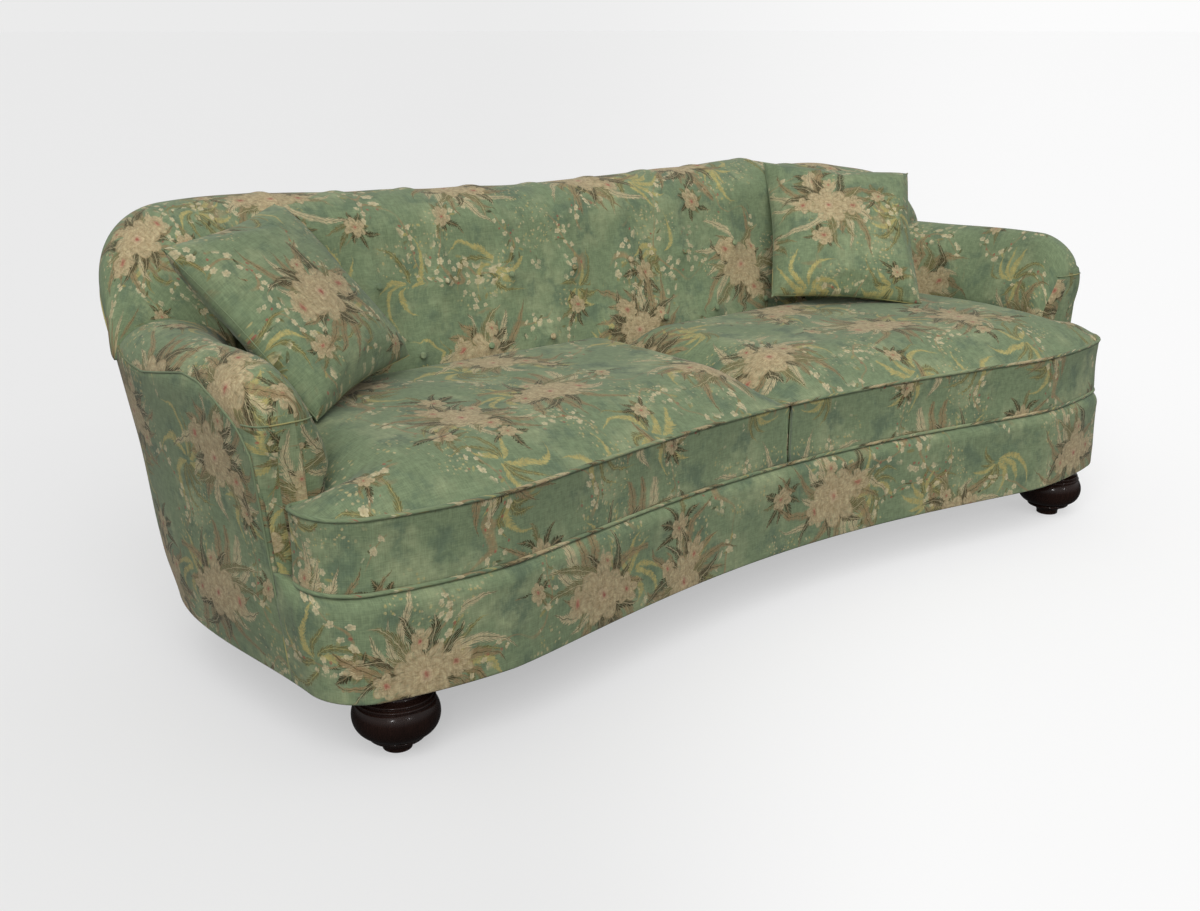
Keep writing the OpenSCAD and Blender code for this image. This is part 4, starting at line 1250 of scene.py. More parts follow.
    def arm_seams(self, side: Side) -> bpy.types.Object:
        """Build the fine ridge of the seam up the arm's front and along its outside."""
        plan = self.plan
        up = np.linspace(SIZE.hem_z + 6, 540, 50)
        st = plan.side(np.full(50, SIZE.seam_y))
        rise = st.place(np.full((50, 1), -0.6), up[:, None])[:, 0]
        rear = plan.rear(np.linspace(0, SIZE.wing_end, 30)[1:])
        along = plan.side(np.linspace(SIZE.seam_y, 0, 70)).joined(rear)
        z = self.arm_seam_z(along.y)
        over = along.place(self.outer_r(along, z) + 0.2, z)[:, 0]
        path = side.mirror(np.concatenate([rise, over]))
        return tube_piece("arm_seam_" + side.word, path, self.seam_cord, SEAM_CLOTH,
                          reference=(side.value, 0.02, 0.01))

    def back_seam(self) -> bpy.types.Object:
        """Build the fine ridge of the seam between the back's roll and its outside cover."""
        plan = self.plan
        corner = plan.rear(np.linspace(SIZE.wing_end + 2, 90, 60))
        line = plan.back(np.linspace(SIZE.rear_x, -SIZE.rear_x, 80)[1:-1])
        st = corner.joined(line, corner.mirrored())
        path = st.place(np.full((len(st), 1), 0.4), plan.seam_height(st))[:, 0]
        return tube_piece("back_seam", path, self.seam_cord, SEAM_CLOTH)

    def build(self) -> None:
        """Build and dress the covers and their seams."""
        linen = self.finishes.linen
        for side in Side:
            dress(self.outside_arm(side), linen, nodes=("outside_arm_" + side.word,))
            dress(self.arm_seams(side), linen)
        dress(self.outside_back(), linen, nodes=("outside_back",))
        dress(self.border(), linen, nodes=("front_border",))
        dress(self.back_seam(), linen)


@dataclass
class Arms:
    """The arms' inside faces, rolls and fronts, each arm one padded skin."""

    plan: Plan
    covers: OutsideCovers
    finishes: Finishes
    rows: int = 30
    slope_z: float = 500
    swell: float = 13
    nose: float = 24
    seam_z: float = 606
    seam_r: float = 1.5
    round_in: float = 451
    round_out: float = 545
    tuck: float = 2.5
    pinch: float = 0.72
    wave: float = 1.8

    def section_lines(self, st: Stations, q: Array, y: Array) -> tuple[Array, Array, Array]:
        """Return one arm's sections as distances, heights and which points are inside.

        The line runs up the inner face, over the roll in two quarter ellipses and down
        the outside. On the arm the inner quarter is tall, so that the pad falls in one
        round slope from the top to the seat, with a soft swell just above the cushion.
        Towards the front the section closes on the arm's middle plane: the distances shrink
        by (1 - q^p)^(1/p) and the roll's height by (1 - q^1.7)^(1/1.7).

        Args:
            st: The stations.
            q: How far along the rounded front each station is, 0 to 1.
            y: Place of each station.
        """
        n, top = self.rows, self.plan.arm_top(st)
        slope = ease((60 - y) / 160)
        base = lerp(SIZE.roll_z, self.slope_z, slope) + 0 * q
        a = np.linspace(0, math.pi / 2, 26)[None]
        low = lerp(SIZE.pad_z + 0.4, base, np.linspace(0, 1, n)[None])
        r1 = self.plan.inner_r(st, base)
        mid = 0.5 * self.plan.inner_r(st, SIZE.roll_z)
        back = np.linspace(0, 1, n)[None, 1:]
        r = np.concatenate([
            self.plan.inner_r(st, low), (mid + (r1 - mid) * np.cos(a))[:, 1:],
            (mid - mid * np.cos(a[:, ::-1]))[:, 1:], 0 * back + 0 * r1], 1)
        z = np.concatenate([
            low, (base + (top - base) * np.sin(a))[:, 1:],
            (SIZE.roll_z + (top - SIZE.roll_z) * np.sin(a[:, ::-1]))[:, 1:],
            lerp(SIZE.roll_z, SIZE.pad_z + 0.4, back) + 0 * r1], 1)
        inner = np.arange(r.shape[1])[None] < n + 25
        swell = self.swell * slope * ease((z - 478) / 40) * ease((640 - z) / 110)
        r = r - np.where(inner, swell, 0)
        power = self.power(z, inner)
        r = mid + (r - mid) * (1 - q ** power) ** (1 / power)
        over = SIZE.roll_z + (z - SIZE.roll_z) * (1 - q ** 1.7) ** (1 / 1.7)
        return r, np.where(z > SIZE.roll_z, over, z), inner

    def power(self, z: Array, inner: Array) -> Array:
        """Return how square the rounded front is: p at a height, on the inner or outer side."""
        p_in = lerp(5.0, 2.7, ease((z - self.round_in) / 169))
        p_out = lerp(9.0, 2.5, ease((z - self.round_out) / 100))
        return np.where(inner, p_in, p_out)

    def reach(self, z: Array) -> Array:
        """Return how far the rounded front comes forward at a height."""
        low = SIZE.dome_back + SIZE.front_bulge
        share = ease((z - self.round_in) / (SIZE.roll_z - self.round_in))
        return lerp(low, SIZE.dome_back + self.nose, share)

    def skin(self, side: Side) -> bpy.types.Object:
        """Build one arm's skin, its front below the roll a panel of its own."""
        plan, n = self.plan, self.rows
        back = plan.rear(np.linspace(SIZE.wing_end + 5, 0, 34)).joined(
            plan.side(np.linspace(0, SIZE.seam_y + SIZE.dome_back, 26)[1:]))
        q = np.sin(np.linspace(0, math.pi / 2, 40))[1:]
        dome = plan.side(np.full(len(q), SIZE.seam_y + SIZE.dome_back))
        st = back.joined(dome)
        share = np.concatenate([np.zeros(len(back)), np.minimum(q, 0.9999)])[:, None]
        r, z, inner = self.section_lines(st, share, st.y - share * 60)
        y = st.y - share * self.reach(z)
        x = np.where(st.turn <= 0, plan.side_x(y), st.x)
        # Below its seam the outside lies a little under the outer cover
        seam = self.covers.arm_seam_z(y)
        tuck = np.where(inner | (y < SIZE.seam_y), 0.0, self.tuck * ease((seam + 2 - z) / 7))
        # The roll closes down a little where it meets the wing
        close = 1 - ease((st.turn - SIZE.wing_end + 4) / 9)
        foot = SIZE.roll_z - 30
        z = np.where(z > foot, lerp(foot, z, lerp(self.pinch, 1, close)), z)
        wave = undulation(y, z * 1.2 + r, 190, 21 + side.value) * self.wave * (1 - share ** 6)
        moved = Stations(x, y, st.nx, st.ny, st.lean, st.turn)
        points = side.mirror(moved.place(r - tuck - np.where(inner, wave, 0), z))
        cloth = Cloth(0.62, 0.0) if side is Side.LEFT else Cloth(1.45, 0.7)
        front = (z < self.seam_z) & (share > np.where(inner, 0.9, 0.5))
        return skin_piece("arm_pad_" + side.word, points, cloth, (40, n + 25), flat=front)

    def front_seam(self, side: Side) -> bpy.types.Object:
        """Build the fine seam across the arm's front at the foot of the roll."""
        plan, low = self.plan, np.full(50, self.seam_z)
        # t runs from 0 at the inner side to 1 at the outer
        t = np.linspace(0.2, 0.985, 50)
        st = plan.side(np.full(50, SIZE.seam_y))
        mid = 0.5 * plan.inner_r(st, SIZE.roll_z)[:, 0]
        off = np.minimum(np.abs(2 * t - 1), 0.999)
        power = self.power(low, t < 0.5)
        q = (1 - off ** power) ** (1 / power)
        y = SIZE.seam_y + SIZE.dome_back - q * self.reach(low) - 0.1
        r = mid + (2 * t - 1) * -mid
        path = np.stack([plan.side_x(y) + r + SIZE.flare * (low - SIZE.hem_z), y, low], -1)
        return tube_piece("arm_front_seam_" + side.word, side.mirror(path), self.seam_r, SEAM_CLOTH)

    def build(self) -> None:
        """Build and dress both arms."""
        for side in Side:
            nodes = tuple(part + side.word for part in ("arm_inside_", "arm_roll_", "arm_front_"))
            dress(self.skin(side), self.finishes.linen, nodes=nodes)
            dress(self.front_seam(side), self.finishes.linen)


@dataclass
class Back:
    """The tufted back with its wings, one padded skin, and its buttons."""

    plan: Plan
    finishes: Finishes
    tuft_pitch: float = 178
    tuft_low: float = 535
    tuft_high: float = 685
    button_d: float = 15
    sag: float = 10
    drop_right: float = 36
    wide_dent: float = 9
    narrow_dent: float = 8
    crease: float = 2.2
    pleat: float = 4
    wave: float = 2.4
    end_in: float = 9
    button_h: float = 2.6

    def nearest(self, x: Array, offset: float) -> Array:
        """Return the signed distance from the nearest multiple of the pitch plus offset."""
        return x - offset - np.round((x - offset) / self.tuft_pitch) * self.tuft_pitch

    def dents(self, x: Array, z: Array, over: Array) -> Array:
        """Return how deep the face is drawn in.

        Each tuft is a wide soft bump and a narrow one. A soft crease runs from each low
        tuft to the two high ones beside it, and a pleat runs up from each high tuft and
        over the top.

        Args:
            x: Place along the back.
            z: Nominal height on the face.
            over: 1 on the face and the top, falling to 0 behind it.
        """
        low, high = self.nearest(x, 0), self.nearest(x, self.tuft_pitch / 2)
        wide, narrow = (
            bump(low, w) * bump(z - self.tuft_low, h) + bump(high, w) * bump(z - self.tuft_high, h)
            for w, h in ((40, 42), (10, 10)))
        climb = (z - self.tuft_low) / (self.tuft_high - self.tuft_low)
        crease = bump(np.abs(low) - self.tuft_pitch / 2 * climb, 15)
        crease = crease * ease(climb * 6) * ease((1 - climb) * 6)
        pleat = bump(high, 15) * ease((z - self.tuft_high) / 30)
        inside = ease((SIZE.rear_x + 30 - np.abs(x)) / 60)
        return (self.wide_dent * wide + self.narrow_dent * narrow + self.crease * crease
                + self.pleat * pleat * over) * inside

    def skin(self) -> bpy.types.Object:
        """Build the back's skin from the left wing's end to the right wing's.

        Its section runs up the inner face, over a top of two quarter ellipses and down to
        the outer seam, and back inside the frame.
        """
        plan = self.plan
        t = np.linspace(0, math.pi / 2, 60)
        corner = plan.rear(90 - (90 - SIZE.wing_end) * np.sin(t)[::-1])
        line = plan.back(np.linspace(SIZE.rear_x, -SIZE.rear_x, 236)[1:-1])
        st = corner.joined(line, corner.mirrored())
        shoulder = np.where(st.x > 0, SIZE.shoulder_right, SIZE.shoulder_left)
        share = plan.rise(st, shoulder)
        top = plan.crest(st, shoulder) - self.sag * bump(st.x + 60, 330)
        top = top - self.drop_right * ease((st.x - 590) / 240) * ease((st.turn - SIZE.wing_end) / 40)
        h_in = lerp(plan.arm_top(st) - SIZE.roll_z, SIZE.crest_in, share)
        straight = top - h_in
        edge = plan.seam_height(st) + 1.2
        rows = np.linspace(0, 1, 74)[None]
        face_z = lerp(SIZE.pad_z + 0.4, straight, rows)
        nominal = lerp(SIZE.pad_z, SIZE.back_h - SIZE.crest_in, rows) + 0 * straight
        a = np.linspace(0, math.pi / 2, 26)[None]
        r1 = plan.inner_r(st, straight)
        mid = 0.5 * r1
        r = np.concatenate([plan.inner_r(st, face_z), (mid + (r1 - mid) * np.cos(a))[:, 1:],
                            (mid - mid * np.cos(a[:, ::-1]))[:, 1:]], 1)
        z = np.concatenate([face_z, (straight + h_in * np.sin(a))[:, 1:],
                            (edge + (top - edge) * np.sin(a[:, ::-1]))[:, 1:]], 1)
        high = SIZE.back_h - SIZE.crest_in
        level = 0 * a[:, 1:] + 0 * r1
        nominal = np.concatenate([nominal, high + 90 * a[:, 1:] + level, high + 141 + level], 1)
        over = np.concatenate([np.ones(rows.size), np.ones(a.size - 1),
                               ease(1 - np.linspace(0, 1, a.size - 1) * 1.6)])[None]
        points = st.place(r, z)
        normal = grid_normals(points)
        outward = points.reshape(-1, 3).mean(0) - points
        if np.sum(normal[:, 20] * outward[:, 20]) > 0:
            normal = -normal
        depth = self.dents(st.x + 0 * z, nominal, over)
        run = arc_lengths(points, 0, len(st) // 2)
        wave = undulation(run, nominal, 210, 3) * self.wave * ease((nominal - 330) / 60) * over
        end = ease((st.turn - SIZE.wing_end) / 4)
        end = 1 - np.sqrt(np.clip(1 - (1 - end) ** 2, 0, 1))
        points = points - normal * (depth - wave + self.end_in * end)[..., None]
        inner_z = lerp(SIZE.pad_z + 0.4, edge, np.linspace(0, 1, 10)[None])
        inner = st.place(-SIZE.lining + 0 * inner_z, inner_z)[:, ::-1]
        sections = np.concatenate([points, inner], 1)
        self.face = (st, points, nominal)
        return skin_piece("back_pad_cover", sections, Cloth(0.13, 0.22), (len(st) // 2, 0))

    def buttons(self) -> bpy.types.Object:
        """Build the small covered buttons that sit in the tufts.

        Each is a grid of radius rho and angle a: a disc of button_d whose height is
        button_h sqrt(1 - rho^3), set in the dent and turned with the face.
        """
        tufts = [(i * self.tuft_pitch, self.tuft_low) for i in range(-4, 5)]
        tufts += [((i + 0.5) * self.tuft_pitch, self.tuft_high) for i in range(-4, 4)]
        rho = np.linspace(0.02, 1, 8)
        a = np.linspace(0, 2 * math.pi, 20, endpoint=False)
        rise = np.append(self.button_h * np.sqrt(np.maximum(1 - rho ** 3, 0)) + 0.4, -2.5)
        reach = np.append(rho, 1.0) * self.button_d / 2
        px, pz = reach[:, None] * np.cos(a), reach[:, None] * np.sin(a)
        out = rise[:, None] + 0 * px
        tilt = math.atan(SIZE.back_rake)
        disc = np.stack([px, pz * math.sin(tilt) - out * math.cos(tilt),
                         out * math.sin(tilt) + pz * math.cos(tilt)], -1).reshape(-1, 3)
        st, points, nominal = self.face
        seats, lids = [], []
        for number, (x, z) in enumerate(tufts):
            row = int(np.argmin(np.abs(st.x[:, 0] - x) + 1e4 * (st.turn[:, 0] < 90)))
            seats.append(points[row, int(np.argmin(np.abs(nominal[row] - z)))])
            lids += end_lids(len(reach), len(a), number * len(disc))
        spots = (np.array(seats)[:, None] + disc).reshape(-1, 3)
        quads = ring_quads(len(reach), len(a))[2].reshape(-1, 4)
        quads = (quads + len(disc) * np.arange(len(tufts))[:, None, None]).reshape(-1, 4)
        return mesh_piece("covered_buttons", spots, quads, spots[quads][..., [0, 2]] * MM * 0.6, lids)

    def build(self) -> None:
        """Build and dress the back and its buttons."""
        nodes = ("wing_pad_left", "back_pad", "wing_pad_right")
        dress(self.skin(), self.finishes.linen, nodes=nodes)
        dress(self.buttons(), self.finishes.linen, nodes=("back_buttons",))


# Cushions


@dataclass
class SeatCushions:
    """The two loose boxed seat cushions with an ear in front of each arm, and their welts."""

    plan: Plan
    finishes: Finishes
    seat_w: float = 2290
    corner_r: float = 110
    setback: float = 13
    boxing_h: float = 137
    crown_h: float = 76
    boxing_in: float = 4
    crown_front: float = 190
    crown_back: float = 90
    crown_side: float = 120
    split_gap: float = 0.8
    seat_gap: float = 3
    ear_gap: float = 7
    split_r: float = 1.5
    ear_r: float = 22
    welt_r: float = 4.2
    core_in: float = 144
    core_y: float = 120
    centre_x: float = 0.454
    centre_y: float = 240
    pucker: float = 1.6
    side_wave: float = 1.6
    top_wave: float = 3.2
    wave_limit: float = 2.0
    under_in: float = 8
    foot_in: float = 3.0
    seam_in: float = 2.0

    @property
    def half(self) -> float:
        """Return half the width of both cushions together."""
        return self.seat_w / 2

    @property
    def front_y(self) -> float:
        """Return the place of the cushions' lobes."""
        return SIZE.lobe_y + self.setback

    @property
    def top_z(self) -> float:
        """Return the height of the top seam."""
        return SIZE.deck_z + self.boxing_h

    @property
    def ear_y(self) -> float:
        """Return the back of the ear."""
        return SIZE.seam_y - SIZE.front_bulge - self.ear_gap

    def side_x(self, z: float) -> float:
        """Return the cushion's side beside the arm at a height."""
        return SIZE.inner_w / 2 + SIZE.arm_rake * (z - SIZE.pad_z) - self.seat_gap

    def back_y(self, z: float) -> float:
        """Return the cushion's back edge at a height."""
        st = self.plan.back(np.zeros(1))
        return float(st.place(self.plan.inner_r(st, z) - self.seat_gap, np.full((1, 1), z))[0, 0, 1])

    def outline(self, z: float) -> Array:
        """Return the cushion's outline at a height, anticlockwise seen from above.

        It follows the front, rounds the ear, runs back beside the arm and round the rear
        corner, and comes back along the back and down the gap between the cushions.
        """
        gap, r = self.split_gap / 2, self.split_r
        front = self.plan.front(self.half, self.corner_r, self.front_y, step=10, first=gap + r)
        front = np.concatenate([front.x, front.y], 1)
        low = self.plan.hollow_y(0.0, self.front_y)
        nose = ellipse_arc((gap + r, low + r), (r, r), (180, 270), 6)[:-1]
        ear = (self.half - self.ear_r, self.ear_y - self.ear_r)
        ear = ellipse_arc(ear, (self.ear_r, self.ear_r), (0, 90), 8)
        side, back = self.side_x(z), self.back_y(z)
        shelf = np.linspace(self.half - self.ear_r, side, 7)[1:]
        shelf = np.stack([shelf, np.full(6, self.ear_y)], -1)
        run = np.linspace(self.ear_y, 0, 32)[1:]
        beside = np.stack([np.full(31, side), run], -1)
        st = self.plan.rear(np.linspace(0, 90, 40)[1:])
        corner = st.place(self.plan.inner_r(st, z) - self.seat_gap, np.full((1, 1), z))[:, 0, :2]
        along = np.linspace(SIZE.rear_x, gap + r, 70)[1:]
        rear = np.stack([along, np.full(69, back)], -1)
        heel = ellipse_arc((gap + r, back - r), (r, r), (90, 180), 6)[1:]
        run = np.linspace(back - r, low + r, 52)[1:-1]
        split = np.stack([np.full(50, gap), run], -1)
        return np.concatenate([nose, front, ear, shelf, beside, corner, rear, heel, split])

    def inset(self, points: Array, r: Array) -> Array:
        """Move an outline inwards along its normals by r."""
        d = np.roll(points, -1, 0) - np.roll(points, 1, 0)
        d /= np.linalg.norm(d, axis=1, keepdims=True)
        return points - np.stack([d[:, 1], -d[:, 0]], -1) * np.reshape(r, (-1, 1))

    def crown(self, x: Array, y: Array) -> Array:
        """Return the crown's height above the top seam.

        It is the product of ramps 1 - (1 - d / width)² from each edge, with a round ramp
        sqrt(1 - (1 - d / width)²) at the back.
        """
        def ramp(d: Array, width: float) -> Array:
            """Return 1 - (1 - t)², with t the distance as a share of the width."""
            return 1 - (1 - np.clip(d / width, 0, 1)) ** 2

        s = SIZE
        arm = np.hypot(np.maximum(self.side_x(self.top_z) - x, 0), np.maximum(self.ear_y - y, 0))
        beyond = np.sqrt(np.maximum(s.lobe_r ** 2 - (np.minimum(x, self.half) - s.lobe_x) ** 2, 0))
        lobe = self.front_y + s.lobe_r - beyond
        front = np.where(x < s.lobe_x, self.plan.hollow_y(x, self.front_y), lobe)
        back = np.sqrt(1 - (1 - np.clip((self.back_y(self.top_z) - y) / self.crown_back, 0, 1)) ** 2)
        return (self.crown_h * ramp(x - self.split_gap / 2, self.crown_side)
                * ramp(self.half - x, self.crown_side) * ramp(arm, self.crown_side)
                * ramp(y - front, self.crown_front) * back)

    def core(self, top: Array) -> Array:
        """Return where each outline point runs to on the cushion's middle line."""
        low, high = self.split_gap / 2 + self.core_in, self.side_x(self.top_z) - self.core_in
        x = np.clip(top[:, 0], low, high)
        return np.stack([x, lerp(top[:, 1], SIZE.lobe_y + self.core_y, 0.55)], -1)

    def rings(self) -> tuple[Array, Array, int]:
        """Return the cushion's rings of points, the print's places and the top seam's ring."""
        bottom_z, steps = SIZE.pad_z, 16
        top = self.outline(self.top_z)
        rings, places = [], []
        run = np.concatenate([[0], np.cumsum(np.linalg.norm(np.diff(top, axis=0), axis=1))])
        under = self.inset(self.outline(bottom_z), self.under_in)
        for k in (0.3, 0.7, 0.93):
            flat = lerp(np.array([[0.5 * self.half, -150.0]]), under, k)
            rings.append(np.column_stack([flat, np.full(len(flat), bottom_z)]))
            places.append(flat)
        for k in np.linspace(0, 1, steps + 1):
            z = lerp(bottom_z + 4, self.top_z, k)
            draw = self.boxing_in * math.sin(math.pi * k) ** 0.8
            wave = undulation(run, np.full_like(run, z), 120, 31)
            swell = self.side_wave * wave * math.sin(math.pi * k)
            edge = self.foot_in * (1 - ease(k * 12)) + self.seam_in * ease((k - 0.93) / 0.07)
            flat = self.inset(self.outline(z), draw + edge - swell)
            rings.append(np.column_stack([flat, np.full(len(flat), z)]))
            places.append(np.column_stack([run, np.full(len(flat), z - self.top_z)]))
        seam = len(rings) - 1
        core = self.core(top)
        centre = np.array([self.centre_x * self.half, SIZE.lobe_y + self.centre_y])
        back = self.back_y(self.top_z)
        lids = [lerp(top, core, k) for k in np.linspace(0, 1, 34)[1:] ** 1.5 * 0.93]
        lids += [lerp(lerp(top, core, 0.93), centre, k) for k in (0.3, 0.6, 0.85, 0.97)]
        for flat in lids:
            x, y = flat[:, 0], flat[:, 1]
            lift = self.crown(x, y)
            away = np.linalg.norm(flat - top, axis=1)
            pucker = self.pucker * bump(away - 16, 16) * (0.5 + 0.5 * undulation(run, 0 * run, 34, 9))
            soft = self.top_wave * undulation(x, y, 230, 17)
            soft = np.minimum(soft * ease(away / 90) * ease((back - 40 - y) / 80), self.wave_limit)
            rings.append(np.column_stack([flat, self.top_z + lift - pucker + soft]))
            places.append(flat)
        return np.stack(rings), np.stack(places), seam

    def cushion(self, side: Side) -> bpy.types.Object:
        """Build one cushion as rings that are joined by quads and closed by two lids.

        The print lies flat on the top, where its UV map is the plan in metres, and runs
        along the boxing by arc length and height.
        """
        rings, places, seam = self.rings()
        rows, n = rings.shape[:2]
        i, j, quads = ring_quads(rows, n)
        quads = quads.reshape(-1, 4)
        wrapped = np.concatenate([places, places[:, :1]], 1)
        # On the boxing the print runs on over the ring's last step
        wrapped[3:seam + 1, -1, 0] = places[seam, -1, 0] + 12
        flat = wrapped.copy()
        flat[seam] = rings[seam][np.r_[0:n, 0], :2]
        top = i >= seam
        k = j + 1
        first = np.where(top[..., None], flat[i, j], wrapped[i, j])
        second = np.where(top[..., None], flat[i, k], wrapped[i, k])
        uv = np.stack([first, second, wrapped[i + 1, k], wrapped[i + 1, j]], -2).reshape(-1, 4, 2)
        under = (i == 2).reshape(-1)
        uv[under] = rings.reshape(-1, 3)[quads[under]][..., :2]
        points = side.mirror(rings).reshape(-1, 3)
        return mesh_piece("seat_cushion_cover_" + side.word, points, quads, uv * MM + [0.05, 0.33],
                          end_lids(rows, n))

    def welt(self, side: Side, z: float, inset: float, name: str) -> bpy.types.Object:
        """Build one welt round the cushion at a height."""
        line = self.outline(z)
        path = self.inset(line, np.where(line[:, 0] < 6, self.welt_r + 0.3, inset))
        path = side.mirror(np.column_stack([path, np.full(len(path), z)]))
        return tube_piece(f"{name}_{side.word}", path, self.welt_r, Cloth(0.5, 0.2), closed=True)

    def build(self) -> None:
        """Build and dress both cushions and their welts."""
        linen = self.finishes.linen
        for side in Side:
            body = "seat_cushion_" + side.word
            dress(self.cushion(side), linen, body, (body,))
            dress(self.welt(side, self.top_z + 1, 1.5, "seat_top_welt"), linen, body)
            dress(self.welt(side, SIZE.pad_z + self.welt_r + 0.3, 2.5, "seat_bottom_welt"), linen, body)


@dataclass(frozen=True)
class Rest:
    """How a scatter cushion lies: its middle, and its roll, lean and turn in degrees."""

    middle: tuple[float, float, float]
    roll: float
    lean: float
    turn: float

    def apply(self, points: Array) -> Array:
        """Return the points rolled in their plane, leant back, turned and moved."""
        x, y, z = points.T
        x, z = spin(x, z, -self.roll)
        y, z = spin(y, z, -self.lean)
        x, y = spin(x, y, self.turn)
        return np.stack([x, y, z], -1) + np.array(self.middle)


@dataclass
class ScatterCushions:
    """The two loose square cushions, each filled by a cloth simulation."""

    seat: SeatCushions
    finishes: Finishes
    width: float = 440
    thick: float = 150
    drawn_in: float = 24
    corner: float = 12
    taller_left: float = 14
    count: int = 65
    seam_r: float = 1.3
    unfilled: float = 0.9
    travel: float = 10
    rear_share: float = 0.94
    steps: int = 20
    lie: float = 3.0

    def rest(self, side: Side) -> Rest:
        """Return how one cushion lies."""
        if side is Side.LEFT:
            return Rest((-894.0, 98.0, 709.0), -6.5, 42, 29)
        return Rest((713.0, 113.0, 706.0), 5.6, 38, -29.5)

    def flat_cushion(self, side: Side, swell: float) -> bpy.types.Object:
        """Build the cushion before it is filled, in its own plane, with its print.

        With u and v from -1 to 1, x = u (h - in (1 - v²) - c u² v⁴), z the same with u and v
        exchanged, and the half thickness is swell ((1 - u²)(1 - v²))^0.44, a little less at
        the rear. Both faces share the points of the rim.
        """
        n = self.count
        t = np.sin(np.linspace(-math.pi / 2, math.pi / 2, n))
        u, v = np.meshgrid(t, t, indexing="ij")
        h = self.width / 2
        tall = h + (self.taller_left / 2 if side is Side.LEFT else 0)
        x = u * (h - self.drawn_in * (1 - v ** 2) - self.corner * u ** 2 * v ** 4)
        z = v * (tall - self.drawn_in * (1 - u ** 2) - self.corner * v ** 2 * u ** 4)
        y = swell * np.maximum((1 - u ** 2) * (1 - v ** 2), 0) ** 0.44
        front, rear = np.stack([x, -y, z], -1), np.stack([x, y * self.rear_share, z], -1)
        inside = np.zeros((n, n), bool)
        inside[1:-1, 1:-1] = True
        number = np.arange(n * n).reshape(n, n)
        behind = number.copy()
        behind[inside] = n * n + np.arange(inside.sum())
        points = np.concatenate([front.reshape(-1, 3), rear[inside]])
        faces = [np.stack([k[:-1, :-1], k[1:, :-1], k[1:, 1:], k[:-1, 1:]], -1).reshape(-1, 4)
                 for k in (number, behind)]
        quads = np.concatenate([faces[0], faces[1][:, ::-1]])
        start = (1.33, 0.87) if side is Side.LEFT else (0.99, 0.79)
        uv = points[quads][..., [0, 2]] * MM + start
        return mesh_piece("scatter_cushion_cover_" + side.word, points, quads, uv)

    def fill(self, piece: bpy.types.Object) -> None:
        """Fill a cushion with Blender's cloth. No point moves further than travel."""
        start = vertices(piece.data)
        cloth = piece.modifiers.new("filling", "CLOTH")
        cloth.settings.quality = 6
        cloth.settings.mass = 0.3
        cloth.settings.tension_stiffness = 25
        cloth.settings.compression_stiffness = 25
        cloth.settings.bending_stiffness = 0.6
        cloth.settings.use_pressure = True
        cloth.settings.uniform_pressure_force = 4.0
        cloth.settings.effector_weights.gravity = 0.0
        scene = bpy.context.scene
        for number in range(1, self.steps + 1):
            scene.frame_set(number)
        shaped = piece.evaluated_get(bpy.context.evaluated_depsgraph_get()).data
        move = vertices(shaped) - start
        piece.modifiers.remove(cloth)
        scene.frame_set(1)
        size = np.linalg.norm(move, axis=1, keepdims=True)
        move = move * np.minimum(1, self.travel * MM / np.maximum(size, 1e-9))
        move_vertices(piece.data, start + move)

    def settle(self, piece: bpy.types.Object, side: Side) -> Array:
        """Put the cushion in its place and press it flat on the seat, at the height lie."""
        points = self.rest(side).apply(vertices(piece.data) / MM)
        seat_z = self.seat.top_z + self.seat.crown(np.abs(points[:, 0]), points[:, 1]) + self.lie
        points[:, 2] = np.maximum(points[:, 2], seat_z)
        move_vertices(piece.data, points * MM)
        return points

    def seam(self, points: Array, side: Side) -> bpy.types.Object:
        """Build the thin seam that follows the cushion's rim."""
        n = self.count
        rim = np.concatenate([np.arange(0, n - 1), np.arange(n - 1, n * n - 1, n),
                              np.arange(n * n - 1, n * n - n, -1), np.arange(n * n - n, 0, -n)])
        turn = replace(self.rest(side), middle=(0, 0, 0))
        facing = turn.apply(np.array([[0.0, 1.0, 0.0]]))[0]
        return tube_piece("scatter_cushion_seam_" + side.word, points[rim], self.seam_r,
                          SEAM_CLOTH, closed=True, reference=tuple(facing))

    def build(self) -> None:
        """Build, fill, place and dress both cushions."""
        for side in Side:
            body = "scatter_cushion_" + side.word
            piece = self.flat_cushion(side, self.thick / 2 * self.unfilled)
            self.fill(piece)
            points = self.settle(piece, side)
            dress(piece, self.finishes.linen, body, (body,))
            dress(self.seam(points, side), self.finishes.linen, body)


# What lies inside and under the covers


